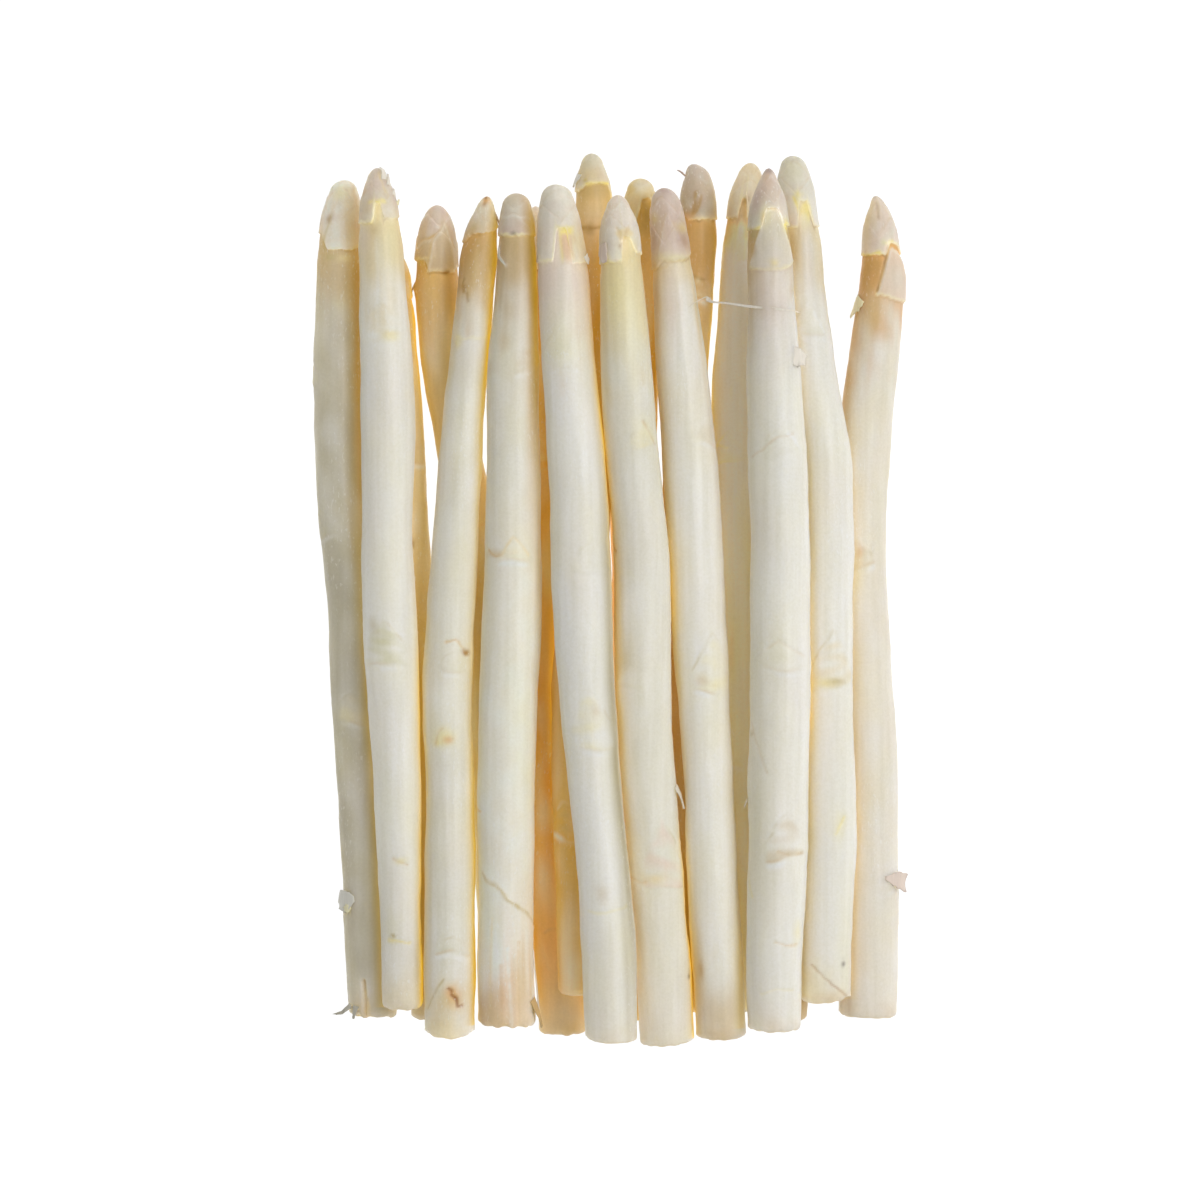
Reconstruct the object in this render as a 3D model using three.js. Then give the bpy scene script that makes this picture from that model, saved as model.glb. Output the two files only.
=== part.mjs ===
// A loose bunch of eighteen peeled white asparagus spears, lying flat with every tip pointing along +Y.
// Millimetres, +Z up. Each spear grew as one piece, scales and all, so each is one closed mesh: rings of
// points are swept from the tip to the cut end, and the scales are raised from that surface. The spears are
// laid one after the other: each comes down until it rests on the surface or on the spears laid before it,
// and settles a little to the side where that lets it lie lower.
import * as THREE from "three";

// Ring and relief sizes
const SIDES = 16;
const POLYGON_SWELL = 1.005; // a polygon is narrower than its circle
const STEM_RING_STEP = 21;
const TIP_RING = 0.8;
const EDGE_RUN = 0.35; // length over which a scale's edge steps up or down
const SCALE_LIFT = 0.45; // how far a head scale stands out of the one above it
const CAP_LIFT = 0.5; // thickness of the skin that the peeler left on the head
const SCAR_LIFT = 0.25; // how far a peeled node stands out of the stem, less than CONTACT_GAP
const BRACT_LIFT = 0.6; // how far a whole bract below the head stands out
const SCAR_FADE = 2.5;
const HEAD_SINK = 0.35; // the widths are over the scales, so the stem under them is this much thinner
const HEAD_SINK_RUN = [-2, 6]; // where that ends, from the cap's lower edge
const CUT_BEVEL = 0.7;
const SCALES_A_TURN = 3;
const SCALE_ROWS = [
  // where a row's points and the valleys between them lie, as shares of the cap's length
  { point: 0.16, valley: 0.42, turned: 0 },
  { point: 0.5, valley: 0.88, turned: 180 / SCALES_A_TURN },
];
const SCAR_HALF_WIDTH = 55;
const RING_CLEARANCE = 4; // how far plain rings stay from a node
const LEAST_RING_STEP = 0.2;
const CUT_LEAN = 0.8; // the most that one side of the cut end stands past its middle

// How the spears lie
const CONTACT_GAP = 0.3;
const FLAT_SPOT_DEPTH = 0.25; // how deep the surface flattens the underside of a spear that lies on it
const LAYING_STEP = 2;
const SIDE_SHIFTS = [-1.2, -0.8, -0.4, 0, 0.4, 0.8, 1.2];
const SHIFT_COST = 2; // how much lower a spear must come to lie, per millimetre that an end shifts

// Distances from the tip at which the centre line and the diameters are given. The last is the cut end.
const LINE_AT = [0, 20, 40, 60, 80, 100, 120, 140, 160, 180, 200];
const WIDTH_AT = [3, 8, 14, 20, 40, 60, 80, 100, 120, 140, 160, 180, 200];

// The spears from left to right. tip: the tip's place along Y. line: the centre line's X at LINE_AT and at the
// cut end. width: the diameters at WIDTH_AT and at the cut end. rim: the cap's peeled lower edge, as angle
// round the spear (0 is +X, 90 is up) and distance from the tip. turn: the angle of the first scale's point.
// scars: peeled nodes, as distance, angle and length. bracts: whole scales left below the cap, likewise, with
// their half width as an angle.
const SPEARS = [
  {
    name: "spear_01",
    tip: 110,
    length: 218.4,
    line: [-69, -70.4, -70.7, -70.6, -70.1, -68.1, -66.6, -65.9, -64.4, -63.2, -62.4, -61.5],
    width: [7.6, 10.2, 11.6, 12, 12.9, 13.3, 13.2, 13, 13, 13, 13, 13, 13, 13],
    rim: [[0, 17], [60, 18.5], [120, 18.5], [150, 14], [200, 14], [240, 18], [330, 16]],
    turn: 100,
    scars: [[48, 175, 5], [132, 80, 9], [184, 140, 6]],
  },
  {
    name: "spear_02",
    tip: 112.3,
    length: 218,
    line: [-60, -59, -58, -57, -57, -57.5, -56.5, -55.5, -54.5, -54, -53.5, -53],
    width: [5.8, 9, 10.6, 11.2, 13, 13.7, 13.8, 13.5, 13.9, 13.4, 12.4, 11.2, 10.4, 10.4],
    rim: [[10, 13], [75, 13.5], [84, 9.5], [100, 9.5], [108, 14.5], [190, 14.5], [280, 12]],
    turn: 60,
    scars: [[34, 85, 10], [117, 105, 13], [179, 75, 4]],
  },
  {
    name: "spear_03",
    tip: 94.5,
    length: 203.6,
    line: [-57.5, -56, -54.5, -53.5, -52.5, -51, -50, -49, -48, -47, -46, -45.5],
    width: [5.6, 9.3, 10.2, 10.8, 11.4, 11.5, 11.5, 11.8, 12, 12, 12, 12, 11.8, 11.6],
    rim: [[0, 15], [100, 16], [200, 14], [290, 16]],
    turn: 30,
    scars: [[52, 60, 7], [110, 250, 9]],
  },
  {
    name: "spear_04",
    tip: 103.5,
    length: 210.3,
    line: [-45.2, -45.2, -43.5, -40, -36.5, -34, -32, -30.5, -29.5, -28.5, -27.5, -27],
    width: [7, 9.8, 11.1, 11.6, 12, 11.9, 12, 12, 12, 12, 12, 12.2, 12.4, 12.2],
    rim: [[0, 16], [70, 17.8], [110, 17.6], [122, 14.6], [190, 14.6], [270, 16]],
    turn: 140,
    scars: [[22, 178, 4], [76, 100, 8], [150, 280, 8]],
  },
  {
    name: "spear_05",
    tip: 105,
    length: 217.5,
    line: [-31.4, -34.2, -35.8, -37.9, -39, -40.4, -41.6, -41.8, -40.8, -41.2, -41.2, -41.1],
    width: [4.9, 8.1, 9.6, 9.8, 10.5, 10.6, 11.6, 12.2, 12.8, 12.6, 12.6, 13.4, 13.1, 12.9],
    rim: [[10, 8], [50, 9.5], [120, 10], [150, 12], [200, 12], [280, 9]],
    turn: 80,
    scars: [[37, 95, 6], [116, 55, 6], [192, 80, 5]],
  },
  {
    name: "spear_06",
    tip: 105.5,
    length: 215.4,
    line: [-23.8, -23.4, -24.3, -24.9, -24.6, -24.5, -25.5, -26.2, -26.6, -26.3, -26.9, -26.3],
    width: [7.6, 9.3, 10.1, 10.5, 12.7, 13.7, 13.9, 14.9, 15.3, 14.7, 14.7, 14.4, 14.2, 15],
    rim: [[0, 11], [90, 11.3], [180, 11], [270, 12]],
    turn: 40,
    scars: [[39, 60, 5], [88, 88, 7], [160, 100, 8]],
  },
  {
    name: "spear_07",
    tip: 103.3,
    length: 216.5,
    line: [-19, -18, -18, -18, -18, -18, -18, -17, -16, -14.5, -12.5, -11.5],
    width: [5, 8.5, 9.8, 10.4, 11.2, 11.4, 11.6, 11.8, 12, 12.2, 12.5, 12.7, 12.9, 13],
    rim: [[0, 15], [90, 17], [180, 15], [270, 14]],
    turn: 70,
    scars: [[60, 90, 8], [140, 230, 8]],
  },
  {
    name: "spear_08",
    tip: 107.5,
    length: 221.1,
    line: [-13.5, -11.8, -10.8, -9, -7.5, -7.1, -6.1, -4.9, -2.9, -1.1, 0.3, 0.9],
    width: [8.3, 10.4, 11.9, 13.1, 13.9, 14, 14.9, 15.3, 15, 13.7, 13.5, 13.8, 14.3, 13.5],
    rim: [[0, 20.5], [66, 20.5], [74, 11.6], [98, 11.6], [112, 20.3], [180, 20.3], [270, 18]],
    turn: 85,
    scars: [[38, 110, 9], [131, 85, 14], [190, 270, 6]],
  },
  {
    name: "spear_09",
    tip: 117,
    length: 219.2,
    line: [-4.3, -3.6, -4, -4.3, -4.4, -5.2, -6.7, -8.9, -8.7, -8.2, -7.5, -7],
    width: [6.1, 8.9, 9.8, 10, 10.6, 11.1, 11.4, 11.7, 12, 12.2, 12.1, 12, 11.7, 11.5],
    rim: [[0, 12], [30, 8.2], [105, 8.2], [140, 10], [190, 10], [270, 12]],
    turn: 120,
    scars: [[19, 95, 4], [96, 70, 8], [170, 120, 8]],
  },
  {
    name: "spear_10",
    tip: 104.4,
    length: 219.8,
    line: [2.5, 3.5, 4.5, 5.5, 7.8, 9.3, 9, 9.5, 11, 12.5, 14.5, 15.5],
    width: [6.2, 9.6, 10.8, 11, 12.7, 13.4, 13.8, 14.6, 14.6, 14.7, 14.8, 14.5, 14.2, 13.7],
    rim: [[0, 15.2], [40, 15], [62, 11], [80, 11], [88, 17.4], [180, 17.8], [270, 16]],
    turn: 65,
    scars: [[58, 60, 6], [90, 170, 4], [161, 88, 18]],
  },
  {
    name: "spear_11",
    tip: 110.5,
    length: 220.2,
    line: [8.5, 8.6, 7.4, 6.8, 6.6, 7, 7, 7, 6.5, 6, 6, 6],
    width: [7.3, 9.8, 10.7, 11.2, 12, 12.2, 12.2, 12.2, 12, 12, 12, 12, 12, 12],
    rim: [[0, 13], [55, 5.5], [85, 5.5], [110, 14], [200, 15], [280, 13]],
    turn: 30,
    scars: [[44, 110, 8], [120, 250, 9]],
  },
  {
    name: "spear_12",
    tip: 107,
    length: 220.2,
    line: [14.5, 16.8, 18.6, 20.4, 21.9, 22.8, 24, 25.2, 26.5, 27, 28.5, 29.5],
    width: [7.4, 8.9, 9.7, 10.6, 12.8, 13.5, 14.4, 14.3, 14, 13.1, 13, 13.4, 13.2, 12.9],
    rim: [[0, 17], [60, 19.2], [120, 19.2], [150, 21.5], [200, 21], [280, 18]],
    turn: 110,
    scars: [[60, 40, 6], [115, 90, 15], [201, 85, 4]],
  },
  {
    name: "spear_13",
    tip: 114.3,
    length: 221.4,
    line: [23.5, 23.5, 22, 20.5, 20, 20, 20, 20, 20.5, 20.5, 21, 21.5],
    width: [6.7, 9, 9.9, 10.3, 10.8, 11.2, 11.6, 11.8, 12, 12, 12, 12, 12, 11.8],
    rim: [[0, 14.5], [90, 14.9], [125, 14.8], [150, 12], [200, 12], [270, 14]],
    turn: 115,
    scars: [[30, 80, 6], [100, 260, 8]],
  },
  {
    name: "spear_14",
    tip: 114.6,
    length: 221.6,
    line: [37.4, 36.1, 34.5, 33, 33, 33, 33, 33, 33, 33, 33, 33.5],
    width: [6.3, 9.6, 11, 11.4, 12, 12, 12, 12, 12, 12, 12, 12, 12, 11.8],
    rim: [[0, 15], [92, 14.8], [98, 9.6], [112, 9.6], [118, 14.8], [200, 14.6], [280, 16]],
    turn: 150,
    scars: [[19, 105, 8], [70, 100, 8], [150, 120, 8]],
  },
  {
    name: "spear_15",
    tip: 111.5,
    length: 222.2,
    line: [41.5, 41.5, 42.5, 43, 44, 44.5, 44.5, 44.5, 44, 44, 43, 43],
    width: [4.6, 8.4, 10.5, 11.2, 12.8, 14.7, 15.5, 15.5, 15.5, 15.9, 16, 15.3, 14.6, 13.6],
    rim: [[0, 15], [50, 14.5], [62, 10.5], [96, 10.5], [112, 16], [180, 16.2], [270, 14]],
    turn: 75,
    bracts: [[12, 86, 14, 64]],
    scars: [[64, 90, 10], [122, 80, 7], [166, 70, 12]],
  },
  {
    name: "spear_16",
    tip: 101,
    length: 210.6,
    line: [46.4, 47, 47.4, 48, 48, 48, 47.5, 47.6, 47.2, 46.8, 46.3, 46.4],
    width: [5.7, 9.3, 10, 10.6, 11.6, 11.6, 11.8, 12, 12, 12.2, 12.2, 12.2, 12.2, 12.1],
    rim: [[0, 14], [90, 15], [180, 16], [270, 15]],
    turn: 20,
    scars: [[50, 80, 8], [130, 270, 8]],
  },
  {
    name: "spear_17",
    tip: 115.5,
    length: 219,
    line: [48, 49.5, 51, 53.5, 57, 57.3, 57, 57, 57.5, 58, 56.7, 56.5],
    width: [7.2, 9.5, 10.5, 11.3, 12.1, 12.9, 13.2, 13.3, 13.3, 13.5, 13.7, 13.9, 13.5, 12.9],
    rim: [[0, 18.6], [40, 18.4], [58, 12], [82, 12], [92, 18.9], [180, 18.9], [270, 17]],
    turn: 90,
    scars: [[40, 90, 5], [126, 85, 13], [208, 60, 5]],
  },
  {
    name: "spear_18",
    tip: 105.9,
    length: 214.6,
    line: [70.7, 71.6, 70, 67.5, 66, 66, 67.2, 68.8, 68.5, 68.5, 68, 68],
    width: [4.9, 8.3, 10, 11, 13.6, 13.7, 13.6, 13.6, 13.9, 14, 14.4, 14.8, 15.2, 15.4],
    rim: [[0, 15.5], [30, 13], [62, 12.5], [74, 15.7], [180, 15.7], [270, 14]],
    turn: 100,
    bracts: [[13.5, 42, 13, 62]],
    scars: [[30, 160, 4], [91, 120, 5], [176, 20, 5]],
  },
];

// The order in which they are laid down: first those on the surface, then the ones over them.
const LAID = [
  ["spear_01", "spear_03", "spear_04", "spear_07", "spear_11", "spear_13", "spear_14", "spear_16", "spear_18"],
  ["spear_09", "spear_17", "spear_05", "spear_06", "spear_12"],
  ["spear_02", "spear_15", "spear_10", "spear_08"],
];

// One colour for each layer, since those below stay darker and more golden.
const LAYER_COLOURS = [0xd9c08a, 0xe2d6b4, 0xebe4cd];
const ROUGHNESS = 0.45;

// A small generator with a fixed seed, so that the bunch is the same each time.
const SEED = 18;
const MULTIPLIER = 1664525;
const INCREMENT = 1013904223;
const MODULUS = 2 ** 32;
function seeded(seed) {
  let state = seed;
  return () => {
    state = (state * MULTIPLIER + INCREMENT) % MODULUS;
    return state / MODULUS;
  };
}
const draw = seeded(SEED);

// A smooth curve through values given at rising stations.
function smooth(stations, values, at) {
  const last = stations.length - 1;
  const t = Math.min(Math.max(at, stations[0]), stations[last]);
  let k = 0;
  while (k < last - 1 && t > stations[k + 1]) k += 1;
  const slope = (i) => {
    const before = Math.max(i - 1, 0);
    const after = Math.min(i + 1, last);
    return (values[after] - values[before]) / (stations[after] - stations[before]);
  };
  const run = stations[k + 1] - stations[k];
  const u = (t - stations[k]) / run;
  const rise = values[k + 1] - values[k];
  const start = slope(k) * run;
  const end = slope(k + 1) * run;
  return values[k] + u * (start + u * (3 * rise - 2 * start - end + u * (start + end - 2 * rise)));
}

// Values given at angles round the spear, joined by straight runs.
function roundTheSpear(points, angle) {
  const turned = ((angle % 360) + 360) % 360;
  const after = points.findIndex(([at]) => at > turned);
  const next = after < 0 ? 0 : after;
  const before = (next + points.length - 1) % points.length;
  const [from, low] = points[before];
  const [to, high] = points[next];
  const span = (to - from + 360) % 360 || 360;
  const into = (turned - from + 360) % 360;
  return low + ((high - low) * into) / span;
}

// How far an angle is from another, from 0 to 180.
function apart(a, b) {
  return Math.abs(((((a - b) % 360) + 540) % 360) - 180);
}

// The centre line's X, with the tip and the cut end shifted to the side as the spear settles.
function centreAt(spear, s, shift) {
  const share = s / spear.length;
  return smooth([...LINE_AT, spear.length], spear.line, s) + shift.tip * (1 - share) + shift.cut * share;
}

function capLength(spear) {
  return Math.max(...spear.rim.map(([, s]) => s));
}

// The radius of the spear without its scales. The tip is a small dome.
function radiusAt(spear, s) {
  const [first] = WIDTH_AT;
  const cap = capLength(spear);
  const [from, to] = HEAD_SINK_RUN;
  const over = smooth([...WIDTH_AT, spear.length], spear.width, s) / 2;
  const sunk = over - HEAD_SINK * (1 - THREE.MathUtils.smoothstep(s, cap + from, cap + to));
  return s < first ? sunk * Math.sqrt(Math.max(s, 0) / first) : sunk;
}

// A ring is two functions of the angle: its distance from the tip, and how far it stands out of the spear.
const level = (s) => ({ s: () => s, lift: () => 0, about: s });

// Two rows of overlapping scales. Each scale's free edge is a V that points to the tip.
function scaleRings(spear) {
  const cap = Math.min(...spear.rim.map(([, s]) => s));
  return SCALE_ROWS.flatMap(({ point, valley, turned }) => {
    const edge = (angle) => {
      const off = apart((angle - spear.turn - turned) * SCALES_A_TURN, 0) / 180;
      return cap * (point + (valley - point) * off);
    };
    const about = cap * point;
    return [
      { s: edge, lift: () => 0, about },
      { s: (angle) => edge(angle) + EDGE_RUN, lift: () => SCALE_LIFT, about: about + EDGE_RUN },
    ];
  });
}

// The lower edge of the cap, where the peeler stopped.
function rimRings(spear) {
  const rim = (angle) => roundTheSpear(spear.rim, angle);
  const about = capLength(spear);
  return [
    { s: rim, lift: () => CAP_LIFT, about },
    { s: (angle) => rim(angle) + EDGE_RUN, lift: () => 0, about: about + EDGE_RUN },
  ];
}

// A V that points to the tip, raised on its lower side. It ends in a step where the bract is whole, and
// fades into the stem where it was peeled.
function bractRings(at, middle, length, halfWidth, lift, whole) {
  const off = (angle) => Math.min(1, apart(angle, middle) / halfWidth);
  const raised = (angle) => (off(angle) < 1 ? lift : 0);
  const edge = (angle) => at + off(angle) * (length - 2 * EDGE_RUN);
  const rings = [
    { s: edge, lift: () => 0, about: at },
    { s: (angle) => edge(angle) + EDGE_RUN, lift: raised, about: at + EDGE_RUN, slight: !whole },
  ];
  if (!whole) return [...rings, level(at + length + SCAR_FADE)];
  const end = at + length;
  return [
    ...rings,
    { s: () => end, lift: raised, about: end },
    { s: () => end + EDGE_RUN, lift: () => 0, about: end + EDGE_RUN },
  ];
}

function ringsOf(spear) {
  const features = [];
  const taken = [];
  for (const [at, middle, length, halfWidth] of spear.bracts ?? []) {
    features.push(...bractRings(at, middle, length, halfWidth, BRACT_LIFT, true));
    taken.push([at, at + length]);
  }
  for (const [at, middle, length] of spear.scars) {
    features.push(...bractRings(at, middle, length, SCAR_HALF_WIDTH, SCAR_LIFT, false));
    taken.push([at, at + length + SCAR_FADE]);
  }
  const cap = capLength(spear);
  const clear = (s) => taken.every(([from, to]) => s < from - RING_CLEARANCE || s > to + RING_CLEARANCE);
  const count = Math.round((spear.length - cap) / STEM_RING_STEP);
  for (let i = 1; i < count; i += 1) {
    const s = cap + ((spear.length - cap) * i) / count;
    if (clear(s)) features.push(level(s));
  }
  const stem = features.sort((a, b) => a.about - b.about);
  return [level(TIP_RING), ...scaleRings(spear), ...rimRings(spear), ...stem];
}

// Each ring's points as angle, distance from the tip and radius, kept in order along the spear.
function outline(spear) {
  const angles = Array.from({ length: SIDES }, (_, i) => ((i + 0.5) * 360) / SIDES);
  const lean = (2 * draw() - 1) * CUT_LEAN;
  const reached = angles.map(() => 0);
  const rings = ringsOf(spear).map((ring) =>
    angles.map((angle, i) => {
      const s = Math.max(ring.s(angle), reached[i] + LEAST_RING_STEP);
      reached[i] = s;
      const bare = radiusAt(spear, s) * POLYGON_SWELL;
      const r = bare + ring.lift(angle);
      return { angle, s, r, reach: ring.slight ? bare : r };
    }),
  );
  const cutAt = (angle) => spear.length + lean * Math.cos(THREE.MathUtils.degToRad(angle));
  const end = radiusAt(spear, spear.length) * POLYGON_SWELL;
  rings.push(angles.map((angle) => ({ angle, s: cutAt(angle) - CUT_BEVEL, r: end, reach: end })));
  rings.push(angles.map((angle) => ({ angle, s: cutAt(angle), r: end - CUT_BEVEL, reach: end })));
  return rings;
}

// The widest that each stretch of a spear gets, slight scars aside, every LAYING_STEP along Y.
function reachOf(spear, rings) {
  const stations = new Map();
  const note = (y, r) => {
    const key = Math.round(y / LAYING_STEP);
    stations.set(key, Math.max(stations.get(key) ?? 0, r));
  };
  for (let i = 0; i < SIDES; i += 1)
    for (let k = 0; k + 1 < rings.length; k += 1) {
      const a = rings[k][i];
      const b = rings[k + 1][i];
      const steps = Math.max(1, Math.ceil((b.s - a.s) / (LAYING_STEP / 2)));
      for (let j = 0; j <= steps; j += 1) {
        const s = a.s + ((b.s - a.s) * j) / steps;
        note(spear.tip - s, a.reach + ((b.reach - a.reach) * j) / steps);
      }
    }
  return [...stations].sort((a, b) => a[0] - b[0]).map(([key, r]) => {
    const y = key * LAYING_STEP;
    return { key, y, r };
  });
}

// The lowest centre height at each station that clears the surface and the spears laid before.
function supports(spear, reach, shift, laid) {
  return reach.map((here) => {
    const x = centreAt(spear, spear.tip - here.y, shift);
    let height = here.r - FLAT_SPOT_DEPTH;
    for (const other of laid) {
      const there = other.at.get(here.key);
      if (!there) continue;
      const touch = here.r + there.r + CONTACT_GAP;
      const across = x - there.x;
      if (Math.abs(across) < touch) {
        height = Math.max(height, there.z + Math.sqrt(touch * touch - across * across));
      }
    }
    return { y: here.y, height };
  });
}

// The straight line that rests on the supports at two places, one on either side of the middle of weight.
function restingLine(points, middle) {
  let best = { height: -Infinity, slope: 0 };
  for (const a of points.filter(({ y }) => y < middle))
    for (const b of points.filter(({ y }) => y >= middle)) {
      const slope = (b.height - a.height) / (b.y - a.y);
      const height = a.height + slope * (middle - a.y);
      if (height > best.height) best = { height, slope };
    }
  return best;
}

function middleOfWeight(reach) {
  const weight = reach.reduce((sum, { r }) => sum + r * r, 0);
  return reach.reduce((sum, { r, y }) => sum + r * r * y, 0) / weight;
}

// Where a spear comes to lie: the cheapest of the small side shifts of its two ends.
function settle(spear, reach, laid) {
  const middle = middleOfWeight(reach);
  let best = { cost: Infinity };
  for (const tip of SIDE_SHIFTS)
    for (const cut of SIDE_SHIFTS) {
      const shift = { tip, cut };
      const { height, slope } = restingLine(supports(spear, reach, shift, laid), middle);
      const cost = height + SHIFT_COST * (Math.abs(tip) + Math.abs(cut));
      if (cost < best.cost) best = { cost, shift, height: (y) => height + slope * (y - middle) };
    }
  return best;
}

function lay() {
  const laid = [];
  for (const [layer, names] of LAID.entries())
    for (const name of names) {
      const spear = SPEARS.find((one) => one.name === name);
      const rings = outline(spear);
      const reach = reachOf(spear, rings);
      const { shift, height } = settle(spear, reach, laid);
      const at = new Map(
        reach.map(({ key, y, r }) => [key, { x: centreAt(spear, spear.tip - y, shift), r, z: height(y) }]),
      );
      laid.push({ spear, rings, height, shift, layer, at });
    }
  return laid;
}

// The closed mesh of one spear where it lies. What would go under the surface is flattened onto it.
function meshOf({ spear, rings, height, shift, layer }) {
  const positions = [];
  const add = (s, angle, r) => {
    const turn = THREE.MathUtils.degToRad(angle);
    const y = spear.tip - s;
    const z = height(y) + r * Math.sin(turn);
    positions.push(centreAt(spear, s, shift) + r * Math.cos(turn), y, Math.max(z, 0));
    return positions.length / 3 - 1;
  };
  const tip = add(0, 0, 0);
  const grid = rings.map((ring) => ring.map(({ s, angle, r }) => add(s, angle, r)));
  const end = add(spear.length, 0, 0);
  const faces = [];
  for (let i = 0; i < SIDES; i += 1) {
    const next = (i + 1) % SIDES;
    faces.push(tip, grid[0][next], grid[0][i]);
    for (let k = 0; k + 1 < grid.length; k += 1) {
      const [a, b] = [grid[k][i], grid[k][next]];
      const [c, d] = [grid[k + 1][i], grid[k + 1][next]];
      faces.push(a, d, c, a, b, d);
    }
    faces.push(grid.at(-1)[i], grid.at(-1)[next], end);
  }
  const geometry = new THREE.BufferGeometry();
  geometry.setAttribute("position", new THREE.Float32BufferAttribute(positions, 3));
  geometry.setIndex(faces);
  geometry.computeVertexNormals();
  const material = new THREE.MeshStandardMaterial({
    color: LAYER_COLOURS[layer],
    roughness: ROUGHNESS,
    metalness: 0,
    flatShading: true,
  });
  const mesh = new THREE.Mesh(geometry, material);
  mesh.name = spear.name;
  return mesh;
}

const bunch = new THREE.Group();
bunch.name = "asparagus_bunch";
const meshes = lay().map(meshOf);
bunch.add(...meshes.sort((a, b) => a.name.localeCompare(b.name)));

// The origin is under the middle of the bunch, on the surface.
const box = new THREE.Box3().setFromObject(bunch);
const middle = box.getCenter(new THREE.Vector3());
for (const mesh of meshes) mesh.geometry.translate(-middle.x, -middle.y, -box.min.z);

export default bunch;
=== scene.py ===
# The looks of a loose bunch of peeled white asparagus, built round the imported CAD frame.
# Lengths are millimetres and angles are degrees, except where a line says otherwise. A place on a spear
# is its distance from the tip and an angle round it: 0 is the right side, 90 the top, 180 the left side.
import math

import bpy
import numpy as np
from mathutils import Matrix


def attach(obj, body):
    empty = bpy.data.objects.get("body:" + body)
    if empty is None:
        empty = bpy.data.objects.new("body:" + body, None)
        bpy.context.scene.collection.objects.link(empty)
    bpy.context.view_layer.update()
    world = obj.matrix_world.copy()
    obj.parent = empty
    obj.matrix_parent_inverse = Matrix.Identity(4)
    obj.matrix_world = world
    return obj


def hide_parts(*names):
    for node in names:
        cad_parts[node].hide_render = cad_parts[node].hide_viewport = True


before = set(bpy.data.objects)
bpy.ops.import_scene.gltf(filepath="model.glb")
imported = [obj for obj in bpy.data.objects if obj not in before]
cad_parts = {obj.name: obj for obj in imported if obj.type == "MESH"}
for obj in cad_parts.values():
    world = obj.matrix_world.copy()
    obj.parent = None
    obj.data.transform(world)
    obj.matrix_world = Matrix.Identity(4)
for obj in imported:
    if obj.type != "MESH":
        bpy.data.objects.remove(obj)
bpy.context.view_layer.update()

MM = 0.001

# ---------------------------------------------------------------- colours, as seen on a screen, 0 to 255
WHITE = (238, 236, 230)
CREAM = (227, 224, 212)
IVORY = (216, 212, 195)
ASH = (188, 182, 162)
WARM = (224, 216, 198)
PINK = (217, 200, 182)
MAUVE = (204, 184, 170)
PLUM = (178, 147, 134)
GREY = (150, 135, 130)
LEMON = (228, 220, 178)
YELLOW = (233, 212, 126)
STRAW = (217, 196, 142)
GOLDEN = (201, 170, 112)
HONEY = (188, 149, 84)
AMBER = (206, 158, 62)
OLIVE = (184, 168, 116)
# painted shade, for flanks that a neighbour keeps from the light
FLANK_SHADE = (152, 134, 70)
GREEN = (208, 203, 164)
FAWN = (200, 180, 142)
TAN = (196, 168, 116)
ORANGE = (207, 159, 98)
BROWN = (146, 106, 46)
RUST = (134, 80, 10)
DARK = (92, 76, 58)

# ---------------------------------------------------------------- colours of light, from 0 to 1
SENT_BACK = np.array([0.8, 0.79, 0.745])  # the light that a surface facing up sends to the camera
PALEST = 0.97  # the most that any surface sends back
GAP_SHADE_TINT = np.array([0.88, 0.62, 0.08])  # painted shade: the golden tint given to flesh that other spears shut in
PAINTED_GAP_LIGHT = (1.0, 0.68, 0.03, 1)  # painted light: the golden light that this flesh gives off, though it is no lamp
PAINTED_GAP_LIGHT_POWER = 0.42  # its strength where two spears touch
GAP_SHADE_REACH = 2.4  # a gap of this width between two spears cuts the painted shade and light to a third
GAP_SHADE_BEND = 1.3  # a higher power keeps the tint nearer to the touch
PAINTED_GAP_LIGHT_BEND = 2.2  # the same for the light
LEFT_GAP_SHADE = 0.3  # the light comes from the right, so flanks that face left get less of the painted shade and light


def linear(colour):
    """The surface colour, in Blender's linear values, that looks like a screen colour in this light."""
    screen = np.array(colour) / 255
    seen = np.where(screen <= 0.04045, screen / 12.92, ((screen + 0.055) / 1.055) ** 2.4)
    return np.minimum(seen / SENT_BACK, PALEST)


# ---------------------------------------------------------------- marks on the skin
def mark(kind):
    """Makes marks of that kind. The method of that name in Skin says what they are given."""
    return lambda *given, **more: (kind, given, more)


scar, bract, spot, window, crack = map(mark, ("scar", "bract", "spot", "window", "crack"))

# ---------------------------------------------------------------- the spears
HEAD_AT = [3, 8, 14, 20]  # where the head's diameters are given
STEM_AT = [30, 40]  # where the head's curve meets the diameters of the solid

# The form and the main colours of each spear.
#   widths: the head's diameters at HEAD_AT. dome: how blunt the tip is. hook: how far the tip leans right.
#   turn: the angle of the first scale. crisp: the strength of the scales' edges.
#   cap: the head's colours, at the tip and at the rim. flesh: the stem's colour; on the spears low in the
#       bunch its straw, golden and amber, and the grey of spear_01, are painted shade.
#   below: the colour under the rim, how far it runs and its strength.
#   tone: the brightness of the head, of the neck under it, and of the stem from PALER_FROM on, as painted
#       light and shade that make up for how much light each part gets in the bunch.
#   lit: painted light, golden light that the whole spear gives off though it is no lamp. left: the share of
#       the painted gap shade and light on flanks that face left.
#   cut: how far the cut end leans over at the top and on the right, and its fray.
#   rim: the lower edge of the skin left on the head, as angle and distance.
SPEARS = {}
# What lies on the skin of each spear, in the order in which it is painted.
MARKS = {}
# Loose skin that stands off a spear: its colour, and its path from where it holds on to its free end. A
# place on the path is a distance, an angle, a height over the flesh and the skin's half width.
FLAPS = {}

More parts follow.
